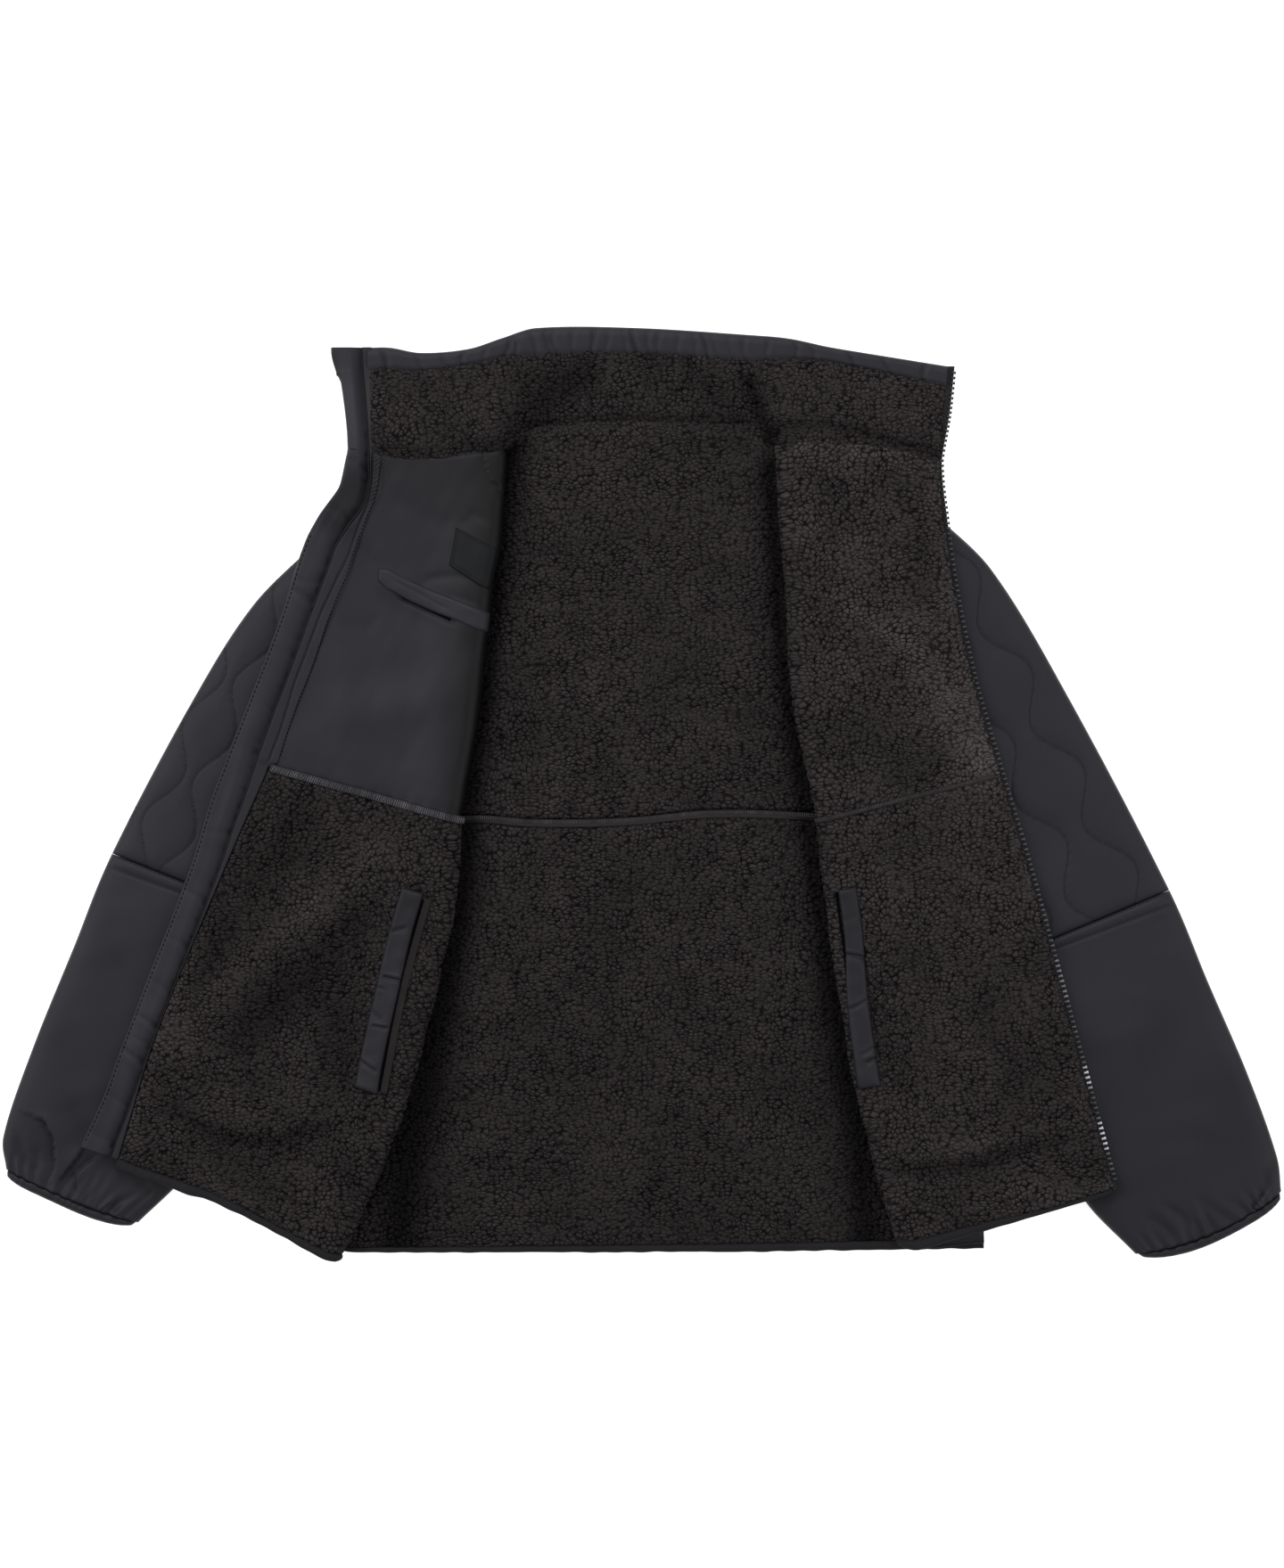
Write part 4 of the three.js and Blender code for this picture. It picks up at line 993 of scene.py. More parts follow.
def declare(piece, grid, thick=0.0):
    """Hides the solid that the piece stands in for, and measures the width and length of a cloth's flat cut
    on its smooth grid, never below the floors above; nothing uses these sizes. `thick` is an allowance in
    millimetres, added to the length of a narrow strip."""
    stand_in(piece)
    coarse = grid[:: max(1, grid.shape[0] // 60), :: max(1, grid.shape[1] // 60)]
    width = max(max(lengths(row)[-1] for row in coarse) * MM, LEAST_SIDE)
    length = max(max(lengths(coarse[:, c])[-1] for c in range(coarse.shape[1])) * MM + thick * MM, LEAST_SIDE)


def wall(name, grid, normals, low, high, on, held="folded", material=NYLON, slot="shell", tone=1.0,
         under_tone=1.0, skip=1, thick=0.0):
    """A closed cloth wall between two offsets, each a number or a grid, along the normals of a grid."""
    def lifted(offset):
        return grid + normals * (offset[..., None] if np.ndim(offset) else offset)

    points, polygons = slab(lifted(low), lifted(high), skip)
    shown = np.broadcast_to(tone, grid.shape[:2]).ravel()
    hidden = np.full(len(points) - shown.size, under_tone)
    piece = make_piece(name, points, polygons, material, {"tone": join([shown, hidden])})
    declare(piece, grid, thick)
    return piece


def tube_piece(name, outer, inner, tone, under_tone):
    """A closed nylon tube between two runs of rings."""
    points, polygons = tube(outer, inner)
    tone = join([tone.ravel(), np.full(len(points) - tone.size, under_tone)])
    piece = make_piece(name, points, polygons, NYLON, {"tone": tone})
    declare(piece, closed(outer))
    return piece


def raise_pile(piece):
    """Raises the curls on a fleece piece and keeps the shaped mesh."""
    modifier = piece.modifiers.new("curls", "NODES")
    modifier.node_group = PILE_SHAPER
    bpy.context.view_layer.update()
    shaped = bpy.data.meshes.new_from_object(piece.evaluated_get(bpy.context.evaluated_depsgraph_get()))
    piece.modifiers.clear()
    piece.data = shaped


def fleece_piece(name, grid, normals, plan, pile, thick, skip, seed, brushed, tone):
    """A fleece wall: fine curls over `pile` (1 full, 0 none), on a coarse backing."""
    high = grid + normals * (LINING_IN + thick)[..., None]
    low = grid + normals * LINING_IN
    points, polygons = slab(low, high, skip)
    extra = len(points) - high.shape[0] * high.shape[1]

    def padded(values):
        flat = values.reshape((-1,) + values.shape[2:])
        return join([flat, np.zeros((extra,) + flat.shape[1:])])

    where = join([plan + np.array([seed, seed * 0.6]), np.zeros(plan.shape[:2] + (1,))], axis=-1)
    brushed = np.clip(np.broadcast_to(brushed, pile.shape), 0, 1)
    fields = {"plan": where, "pile": pile, "way_out": normals, "brushed": brushed, "tone": tone}
    fields = {key: padded(values) for key, values in fields.items()}
    piece = make_piece(name, points, polygons, FLEECE, fields)
    raise_pile(piece)
    declare(piece, grid)


# ---- the back ----
# How far apart the points of a cloth's grid lie.
PILE_STEP = 1.46
SHELL_STEP = 7
BACK_SHELL_STEP = 12

UNDERLAP = 5.0  # how far the upper back's pile and the collar's run on past the neck seam


def fine_shares(low, high, total, step, coarse):
    """Shares from 0 to 1: fine steps between low and high, coarse ones outside."""
    return np.unique(join([
        steps(0, low, coarse / total), steps(low, high, step / total), steps(high, 1, coarse / total),
    ]))


BACK_SEAM_STRIP = {"low": 5.0, "high": 1.2}  # how far the strip over the seam reaches down and up


def make_back():
    for name, low, high, shown, lift, seed in (
        ("back_lining_lower", BACK_HEM, BACK_SEAM, (0.075, 0.895), 0.0, 0.0),
        ("back_lining_upper", BACK_SEAM, BACK_TOP, (0.19, 0.81), SEAM, 400.0),
    ):
        tall = high[3][1] - low[3][1]
        lap = UNDERLAP / tall if high is BACK_TOP else 0.0
        u = fine_shares(*shown, 500, PILE_STEP, 9)
        w = steps(0, 1 + lap, PILE_STEP / tall)
        grid = back_grid(low, high, u, w, lift)
        normals = np.zeros_like(grid)
        normals[..., 2] = 1
        from_ends = np.minimum(w, 1 + lap - w)[:, None] * tall + 0 * u[None]
        thick = 0.9 + (LINING_OUT - LINING_IN - 0.9) * rounded(from_ends, 4.5)
        x, y = grid[..., 0], grid[..., 1]
        thick = thick + 0.5 * wander(x, y, 70, seed + 3) * ease(from_ends / 12)
        inside = ease((u - shown[0] + 0.01) / 0.02) * ease((shown[1] + 0.01 - u) / 0.02)
        to_seam = (tall * (1 - w) if high is BACK_SEAM else tall * w + 4.2)[:, None]
        beside_seam = ease((to_seam - BACK_SEAM_STRIP["low"]) / 2.5)
        pile = (0.35 + 0.65 * rounded(from_ends, 3)) * inside[None] * beside_seam
        thick = thick - 1.2 * (1 - beside_seam)
        brushed = ease(0.75 - 0.9 * wander(x, y, 90, 12)) * ease((np.minimum(u, 1 - u) - 0.1) / 0.2)
        # Painted shade and light from the back's shading table, darkest beside the fronts' folds, with uneven
        # tone.
        tone = painted_shading(grid, BACK_PAINTED_SHADING) * (1 + 0.07 * wander(x, y, 120, 15))
        fleece_piece(f"{name}_pile", grid, normals, grid[..., :2], pile, thick, 8, seed, brushed, tone)
    u, w = steps(0, 1, BACK_SHELL_STEP / 520), steps(0, 1, BACK_SHELL_STEP / 315)
    lower = back_grid(BACK_HEM, BACK_SEAM, u, w)
    upper = back_grid(BACK_SEAM, BACK_TOP, u, w[1:], SEAM)
    grid = join([lower, upper])
    low, high = grid.copy(), grid.copy()
    low[..., 2], high[..., 2] = BACK_Z + SHELL_OUT, BACK_Z + SHELL_IN
    points, polygons = slab(low, high)
    shell = make_piece("back_shell_cloth", points, polygons, NYLON)
    declare(shell, grid)


# ---- the fronts ----
UNDER_COLUMNS = np.linspace(0, 1, 14)


def roll_columns(count):
    return np.linspace(0, np.pi, count + 1)[1:]


PILE_ON_TAPE = 2.8  # how far the left front's pile leans over its zip tape


def hem_shown(front, past):
    """How much of the hem binding shows inside the left front's hem, widest beside its fold."""
    return 5.0 * ease(1.15 - past / 105) * ease((past + 12) / 8) * (front is LEFT)


def front_fleece(front, part, s0, s1, seed, over_step, round_ends, sunk=(), tone=1.0):
    s = steps(s0, s1, PILE_STEP)
    _, _, _, reach = front.base(s)
    lean = (PILE_ON_TAPE - 1.2 * wander(s, 0 * s, 9, seed + 6)) * ease(1 - (s - front.length + 90) / 60)
    lean = lean * (front is LEFT)
    over = steps(0, 1, over_step / reach.max())[1:]
    grid, normals, chart, past = front.grid(s, UNDER_COLUMNS, roll_columns(15), over, lean)
    reach = (reach + lean)[:, None]
    lower = creased(grid, FLEECE_CREASES) * ease(past / 30)
    from_low = s[:, None] - s0 + 50 * (not round_ends[0]) - hem_shown(front, past)
    from_ends = np.maximum(np.minimum(from_low, (s1 - s + 50 * (not round_ends[1]))[:, None]), 0)
    to_edge = np.maximum(reach - past, 0)
    full = LINING_OUT - LINING_IN
    height = 0.8 + (full - 0.8) * rounded(to_edge, 5) * rounded(from_ends, 4.5)
    x, y = chart[..., 0], chart[..., 1]
    height = height - lower + 0.7 * wander(x, y, 60, seed + 1) * ease(to_edge / 10)
    pile = ease((past + 26) / 8) * (0.4 + 0.6 * rounded(to_edge, 4)) * (0.35 + 0.65 * rounded(from_ends, 3))
    for rows, cols in sunk:  # the pile is flattened under what is sewn on it
        inside = (ease((s - rows[0] + 1) / 3) * ease((rows[1] + 1 - s) / 3))[:, None]
        inside = inside * ease((past - cols[0] + 1) / 3) * ease((cols[1] + 1 - past) / 3)
        pile, height = pile * (1 - 0.8 * inside), height - 2.4 * inside
    brushed = ease(0.42 - 0.9 * wander(x, y, 75, seed + 2)) * ease((past - 26) / 30)
    # Painted shade and light from the front's shading table, with uneven tone, and painted shade in the
    # creases.
    tones = RIGHT_FRONT_PAINTED_SHADING if front is RIGHT else LEFT_FRONT_PAINTED_SHADING
    tone = tone * (1 + 0.07 * wander(x, y, 90, seed + 4)) * mix(1, painted_shading(grid, tones), ease((past + 8) / 12))
    tone = tone * (1 - 0.1 * np.clip(lower, -1, 2))
    if front is LEFT:
        pile = pile * (0.15 + 0.85 * ease((np.abs(s - front.seam) - 1.0) / 2.5))[:, None]
    name = f"front_{front.hand}_lining_{part}_pile"
    fleece_piece(name, grid, normals, chart, pile, np.maximum(height, 0.5), 6, seed, brushed, tone)


def front_shell(front):
    s = steps(0, front.length, SHELL_STEP)
    over = steps(0, 1, SHELL_STEP / 160)[1:]
    grid, normals, _, _ = front.grid(s, UNDER_COLUMNS, roll_columns(8), over)
    wall(f"front_{front.hand}_shell_cloth", grid, normals, SHELL_OUT, SHELL_IN,
         f"sleeve_{front.hand}_upper_cloth")


CHEST_WELT = {"low": "weltLow", "high": "weltHigh", "reach": 83}


def right_upper_nylon():
    front = RIGHT
    s = steps(front.seam + SEAM, front.length, 1.45)
    _, _, bend_r, reach = front.base(s)
    flat = np.linspace(0, 1 - 9 / reach.max(), 60)[1:]
    over = join([flat, np.linspace(flat[-1], 1, 12)[1:]])
    grid, normals, _, past = front.grid(s, UNDER_COLUMNS, roll_columns(12), over)
    x, y = grid[..., 0], grid[..., 1]
    high = LINING_OUT - creased(grid, NYLON_CREASES) * ease((past + 12) / 10)
    high = high + 0.45 * wander(x, y, 75, 5) + 0.16 * wander(x, y, 24, 9)
    to_edge = reach[:, None] - past
    near_seam = (s - front.seam)[:, None]
    high = high - 1.6 * np.exp(-near_seam / 6) * (1 + 0.5 * wander(x, y, 13, 21))
    below_neck = (front.length - s)[:, None]
    high = high - 2.4 * hump(below_neck, 3.5)
    # The pocket opening is a slot along the welt's lower edge, on the hem side.
    slot = s[:, None] - (front.at("weltLow") - 1.2)
    along = ease((past - 12) / 8) * ease((CHEST_WELT["reach"] - 14 - past) / 8)
    high = high - 2.4 * hump(slot, 2.0) * along
    beyond = to_edge + edge_offsets(s, TOPSTITCH_AT)[:, None]
    # Painted shade and light from the nylon's shading table, with uneven tone; painted shade along the
    # stitched line beside the edge, deepening towards the fold where the cloth rolls under, and in the
    # creases.
    tone = painted_shading(grid, NYLON_PAINTED_SHADING) * (1 + 0.04 * wander(x, y, 60, 8))
    tone = tone * (1 - 0.5 * hump(beyond - 0.4, 1.0) * (beyond > -2)) * (1 - 0.08 * hump(beyond, 9.0))
    from_fold = np.clip(past + bend_r[:, None], 0, None)
    fold_shade_reach = np.interp(s, [front.seam, front.at("weltLow"), front.length], [16.0, 20.0, 34.0])[:, None]
    tone = tone * (1 - 0.94 * np.exp(-(from_fold / fold_shade_reach) ** 1.3))
    tone = tone * (1 - 0.08 * np.clip(creased(grid, NYLON_CREASES), -1, 2))
    wall("front_right_lining_upper_cloth", grid, normals, LINING_IN, high, "sleeve_right_upper_cloth",
         tone=tone, skip=8)


def front_patch(front, S, P):
    """A grid on a front's upper side, and its normals out of the lining."""
    grid = roll_patch(front, S, P)
    normals = grid_normals(grid)
    return grid, normals * (1 if normals[-1, -1, 2] > 0 else -1)


def aslant(along, bow, lean):
    """How far a pocket lies aside of the fold line's run: a bow in the middle, and low down a lean."""
    return bow * (np.sin(np.pi * np.clip(along, 0, 1)) + 0.45 * along) - lean * ease(1 - along / 0.8)


def welt(node, front, s0, s1, p0, p1, rise, creases, lip, sway=0.0, round_far=0.0, tone=0.74, way=(0, 0)):
    """A puffed pocket welt over part of a front. The lip is its free edge: low or high along the fold line,
    near or far across it."""
    S, P = np.meshgrid(steps(s0, s1, 0.95), steps(p0, p1, 0.8), indexing="ij")
    across, along = (P - p0) / (p1 - p0), (S - s0) / (s1 - s0)
    narrow = 1 - round_far * ease((across - 0.9) / 0.1)
    S = mix(s0, s1, 0.5) + (S - mix(s0, s1, 0.5)) * narrow + sway * np.sin(2 * np.pi * (across + 0.12))
    P = P + 0.7 * np.sin(2.6 * np.pi * along + 0.6) * (p1 - p0 < 40) + aslant(along, *way)
    grid, normals = front_patch(front, S, P)
    gaps = {"low": S - S.min(0), "high": S.max(0) - S,
            "near": P - P.min(1)[:, None], "far": P.max(1)[:, None] - P}
    free = gaps.pop(lip)
    sewn = np.minimum.reduce(list(gaps.values()))
    puff = rounded(sewn, 4.2) * (0.62 + 0.38 * rounded(free, 4.5)) * rounded(free, 0.9)
    high = LINING_OUT - 1.4 + (rise + 1.4) * puff
    for at, deep, wide, slant, start, stop in creases:
        line = S - mix(s0, s1, at) - slant * (across - 0.5) * (p1 - p0)
        reach = ease((across - start) / 0.15) * ease((stop - across) / 0.15)
        high = high - deep * (hump(line, wide) - 0.4 * hump(line - 1.6 * wide, wide)) * reach
    x, y = grid[..., 0], grid[..., 1]
    high = high + 0.35 * wander(x, y, 18, 31) * puff
    # Painted shade where the puff sinks to its sewn edges, with uneven tone; the narrow welts also turn
    # darker towards their upper end.
    tone = (tone - 0.3 * (1 - rounded(sewn, 3.0))) * (1 - 0.1 * wander(x, y, 26, 37))
    tone = tone * (1 - 0.2 * ease((along - 0.6) / 0.4) * (p1 - p0 < 40))
    wall(f"{node}_cloth", grid, normals, LINING_OUT - 2.6, high, f"front_{front.hand}_lining_lower_pile",
         tone=tone, under_tone=0.6, skip=3)


def front_strip(name, front, s0, s1, p0, p1, high, material, slot, ribs=0, tone=1.0, beside=None):
    """A narrow flat strip on a front, with ribs that run along the fold line. It may lie beside a pocket's
    welt, given as its two ends and its way aslant."""
    S, P = np.meshgrid(steps(s0, s1, 2.0), steps(p0, p1, 0.5), indexing="ij")
    grid, normals = front_patch(front, S, P)
    across = (P - p0) / (p1 - p0)
    if beside:
        grid = roll_patch(front, S, P + aslant((S - beside[0]) / (beside[1] - beside[0]), *beside[2:]))
    sides = 1 - rounded(np.minimum(P - p0, p1 - P), 0.8)
    top = high + 0.25 * np.sin(2 * np.pi * ribs * across) * (ribs > 0) - 0.6 * sides
    on = f"front_{front.hand}_shell_cloth"
    wall(name, grid, normals, high - 1.8, top, on, material=material, slot=slot, tone=tone, under_tone=tone)


def roll_patch(front, S, P):
    """Points of a front for places that start round the roll, where past is below 0."""
    centre, out, r, _ = front.base(S)
    angle = np.clip(np.pi + P / r, 0, np.pi)
    turn = centre - out * (r * np.sin(angle))[..., None]
    bend = join([turn, (UNDER_Z + r * (1 - np.cos(angle)))[..., None]], axis=-1)
    return np.where((P < 0)[..., None], bend, front.over(S, np.maximum(P, 0)))


def make_fronts():
    low, high = RIGHT.at("pocketLow"), RIGHT.at("pocketHigh")
    front_fleece(RIGHT, "lower", 0, RIGHT.seam - SEAM, 130.0, 1.3, (True, True), [((low, high), (4, 29))])
    left_sunk = [((LEFT.at("pocketLow"), LEFT.at("pocketHigh")), (-6, 14))]
    front_fleece(LEFT, "lower", 0, LEFT.seam - SEAM, 270.0, 1.3, (True, False), left_sunk, 1.12)
    front_fleece(LEFT, "upper", LEFT.seam + SEAM, LEFT.length, 310.0, 1.35, (False, True), (), 1.18)
    right_upper_nylon()
    front_shell(RIGHT)
    front_shell(LEFT)
    pockets = [  # how far along, how deep, how wide, how much each slants, where it starts and stops
        (0.12, 1.5, 2.0, 0.3, 0.1, 1.0), (0.32, 1.8, 1.3, -0.1, 0.0, 0.8), (0.36, 0.7, 2.6, 0.4, 0.3, 1.0),
        (0.5, 0.9, 1.4, 0.1, 0.5, 1.1), (0.56, 2.0, 1.5, -0.05, -0.1, 0.8), (0.8, 0.9, 2.2, -0.5, 0.2, 1.0),
    ]
    way = (5.0, 0.0)
    beside = (low, high, *way)
    welt("pocket_welt_right", RIGHT, low, high, 11.5, 30, 2.6, pockets, "near", way=way)
    # Painted shade: a near-black strip laid in the pocket's opening.
    front_strip("pocket_opening_right", RIGHT, low + 6, high - 6, 10.7, 11.9, LINING_OUT - 0.9, DARK_THREAD_AND_SHADE, "shell",
                beside=beside)
    front_strip("pocket_edge_right", RIGHT, low + 3, high - 4, 5.0, 10.4, LINING_OUT - 0.7, KNIT_EDGE,
                "fleece", 4, 0.62, beside)
    low, high = LEFT.at("pocketLow"), LEFT.at("pocketHigh")
    creases = [
        (0.13, 1.9, 2.2, 0.25, 0.3, 1.1), (0.18, 0.9, 1.8, 0.4, 0.2, 1.1), (0.42, 1.2, 1.8, 0.4, 0.0, 1.0),
        (0.66, 2.1, 1.6, -0.35, -0.1, 1.1), (0.85, 0.5, 2.6, 0.2, 0.0, 1.0),
    ]
    way = (0.0, 5.5)
    welt("pocket_welt_left", LEFT, low, high + 2, -0.4, 14, 2.2, creases, "near", way=way)
    # Painted shade: a near-black strip laid in the pocket's opening.
    front_strip("pocket_opening_left", LEFT, low + 60, high, -1.6, -0.2, LINING_OUT - 1.0, DARK_THREAD_AND_SHADE, "shell",
                beside=(low, high + 2, *way))
    low, high = RIGHT.at(CHEST_WELT["low"]), RIGHT.at(CHEST_WELT["high"])
    reach = CHEST_WELT["reach"]
    creases = [(0.45, 0.4, 1.5, 0.05, 0.2, 0.9)]
    welt("chest_welt", RIGHT, low, high, -8, reach, 1.5, creases, "low", 0.9, 0.3, 1.0)
    # Painted shade: a near-black strip laid in the chest pocket's opening.
    front_strip("chest_opening", RIGHT, low - 1.2, low + 0.6, 20, reach - 22, LINING_OUT - 1.0, DARK_THREAD_AND_SHADE, "shell")


# ---- the collar ----
# Nominal sizes in millimetres, which turn shares of the collar into distances.
COLLAR_TALL = 60
RIM_WIDE = 14
PAST_COLLAR_END = 3.0  # how far the collar runs on past its right end, to the zip


def neck_points(step):
    """Points along the neck seam, run on past the right end to the zip."""
    seam = NECK(steps(0, NECK_LENGTH, step))
    seam[:, 1] += SEAM
    more = seam[:1] - np.array([[1.0, 0.0, 0.0]]) * np.arange(PAST_COLLAR_END, 0, -1.0)[:, None]
    return join([more, seam])


def make_collar():
    seam = neck_points(1.4)
    onto_rim = np.array([0.06, 0.12, 0.18, 0.24])
    shares = join([steps(-UNDERLAP / COLLAR_TALL, 1, PILE_STEP / COLLAR_TALL), 1 + onto_rim])
    grid = collar_grid(seam, shares)
    normals = up_facing(grid_normals(grid))
    x, y = grid[..., 0], grid[..., 1]
    from_low = (shares[:, None] - shares[0]) * COLLAR_TALL + 0 * x
    ragged = 1.5 + 1.5 * wander(x, 0 * x, 10, 51) + 0.9 * wander(x, 0 * x, 4.5, 52)
    from_high = np.where(shares <= 1, (1 - shares) * COLLAR_TALL, (1 - shares) * 15)[:, None] + ragged
    along = lengths(seam)
    from_ends = np.minimum(along, along[-1] - along)[None]
    full = LINING_OUT - LINING_IN
    high = 1.0 + (full - 1.0 + 0.9 * wander(x, y, 45, 4)) * rounded(from_low, 4.5) * rounded(from_high, 4)
    high = high * (0.3 + 0.7 * rounded(from_ends, 4)) - creased(grid, FLEECE_CREASES)
    high = high - 1.0 * hump(from_low - UNDERLAP - 1.5, 3.0) * (x > -80)
    pile = (0.5 + 0.5 * rounded(from_low, 3)) * rounded(from_high, 2.5) + 0 * from_ends
    brushed = ease(0.35 - 0.9 * wander(x, y, 60, 18))
    # Painted shade and light from the collar's shading table, with uneven tone.
    tone = painted_shading(grid, COLLAR_PAINTED_SHADING) * (1 + 0.05 * wander(x, y, 70, 19))
    fleece_piece("collar_lining_pile", grid, normals, grid[..., :2], pile, np.maximum(high, 0.4), 6, 520.0,
                 brushed, tone)

    seam = neck_points(1.6)
    shares = join([np.linspace(-0.08, 0.93, 12), np.linspace(0.97, 2, 19)])
    grid = collar_grid(seam, shares)
    normals = up_facing(grid_normals(grid))
    rim = np.clip(shares - 1, 0, 1)[:, None]
    is_rim = (shares >= 0.96)[:, None]
    x = grid[..., 0]
    gathers = np.zeros_like(x)
    for i, at in enumerate(COLLAR_GATHERS):
        lean = 7 * (scatter(i, 5) - 0.5)
        deep = 0.8 + 1.9 * scatter(i, 9)
        line = x - at - lean * rim - 1.2 * np.sin(4 * rim + i)
        gathers += deep * (hump(line, 1.9) - 0.35 * hump(line - 3.4, 2.6))
    puff = rounded((1 - rim) * RIM_WIDE, 5.5) * (0.35 + 0.65 * rounded(rim * RIM_WIDE + 0.4, 4.5))
    top = SHELL_IN + (LINING_OUT + 0.2 - SHELL_IN) * puff - gathers * ease(1.3 - rim)
    high = np.where(is_rim, np.maximum(top, SHELL_IN), SHELL_IN)
    # Painted shade: darker where the rim turns from the collar and in the gathers' hollows.
    tone = 0.94 - 0.22 * (1 - rounded(rim * RIM_WIDE, 4)) - 0.14 * np.clip(gathers, -1, 2)
    wall("collar_shell_cloth", grid, normals, SHELL_OUT, high, "back_shell_cloth", tone=tone, skip=4)


# ---- strips beside the free edges ----
FLAP = {"over": 1.6, "collar": 31}
FLAP_HEM = 2.4  # from the storm flap's rim in to its stitching
TAPE_SIZES = {"shown": 6.5, "low": -1.0}


def smoothed(values, reach):
    """Running average along the first axis, with its ends held."""
    kernel = np.hanning(2 * reach + 3)[1:-1]
    kernel /= kernel.sum()
    padded = join([np.repeat(values[:1], reach, 0), values, np.repeat(values[-1:], reach, 0)])
    if values.ndim == 1:
        return np.convolve(padded, kernel, "valid")
    return np.column_stack([np.convolve(padded[:, k], kernel, "valid") for k in range(values.shape[1])])


EDGE_STEP = 1.6


class EdgeStrip:
    """Stations up a front's free edge and on up the collar's end."""

    def __init__(self, front):
        s = steps(0, front.length, EDGE_STEP)
        _, _, _, reach = front.base(s)
        on_front = front.over(s, reach)
        before = front.over(s, reach - 8)
        out = unit((on_front - before)[:, :2])
        end = NECK(np.array([0.0 if front.sign < 0 else NECK_LENGTH]))
        shares = steps(0, 2, EDGE_STEP / 38)[1:]
        on_collar = collar_grid(end, shares)[:, 0]
        level = np.tile([front.sign, 0.0], (len(on_collar), 1))
        rise = np.linspace(0, 1, len(on_collar))
        self.front, self.count = front, len(s)
        self.p = join([on_front, on_collar])
        self.out = unit(smoothed(join([out, level]), 9))
        top_flap = float(front.flap(front.length))
        self.flap = smoothed(join([front.flap(s), mix(top_flap, FLAP["collar"], ease(rise))]), 8)
        self.along = lengths(self.p)

    def points(self, distance):
        """Points at distances (rows of stations, columns) beyond the edge, on what the strip lies on."""
        plan = self.p[:, None, :2] + self.out[:, None] * distance[..., None]
        flat, rise = self.front.settled(plan)
        z = flat + rise
        z[self.count:] = self.p[self.count:, None, 2]
        z = smoothed(z, 4)
        return join([plan, z[..., None]], axis=-1)


def strip_piece(node, strip, shares, low, high, near, far, tone=1.0, material=NYLON, slot="shell"):
    """A strip between two distances beyond the edge. low and high are offsets, as numbers or grids."""
    grid = strip.points(mix(near[:, None], far[:, None], shares[None]))
    return wall(f"{node}_cloth", grid, up_facing(grid_normals(grid)), low, high, "sleeve_right_upper_cloth",
                material=material, slot=slot, tone=tone, skip=4)


FLAP_PUCKERS = [  # how far up the edge, how deep, how wide, how much they slant
    (12, 0.8, 3, 0.2), (43, 1, 2.2, 0.25), (79, 2, 2.2, 0.3), (92, 0.8, 2.2, 0.1), (108, 1.7, 2, 0.25),
    (137, 0.8, 2.6, 0.3), (173, 1, 2.4, 0.2), (211, 1.2, 2.2, 0.25), (262, 0.6, 3, -0.15), (330, 0.4, 4, 0.2),
    (408, 0.5, 3, -0.2), (452, 2, 2.2, 0.15), (463, 0.8, 2.4, -0.3), (520, 0.8, 3.4, 0.3), (566, 0.8, 3, 0.2),
]
# Lines that run up beside the right edge: how far up, and how far outside the edge of the front.
TOPSTITCH_AT = [
    (325, -5.5), (354, -3), (374, -1.8), (402, -2.2), (440, -1), (480, -3), (510, -3.5), (529, -2.1),
    (545, -3.2), (557, -4.3), (574, -6.4),
]
BAND_GROOVE_AT = [
    (325, 2), (352, 3.1), (389, 6.8), (443, 6.7), (478, 3.4), (495, 1.2), (508, 1.6), (538, 2.8), (554, 1.7),
    (574, 1),
]
BAND_END_AT = [
    (0, 5.6), (13, 5.2), (42, 2.8), (81, 1), (144, 0.7), (190, 1.8), (221, 3.1), (247, 4.4), (272, 6.6),
    (292, 7.8), (328, 11.2), (365, 13.2), (441, 13.9), (493, 12.7), (515, 8.2), (527, 5.4), (554, 3.9),
    (594, 4.6), (640, 7.2),
]
FLAP_STITCH_AT = [
    (0, 28.5), (7, 27.6), (34, 23.5), (53, 21), (77, 18.8), (98, 17.9), (138, 18.6), (178, 20.5), (230, 22.8),
    (258, 25.6), (284, 29), (325, 31.2), (380, 32.5), (435, 32.4), (479, 34),
]
TUCKS = {"pitch": 3.1, "deep": 0.75}


def edge_offsets(along, line):
    return smoothed(np.interp(along, *zip(*line)), 4)


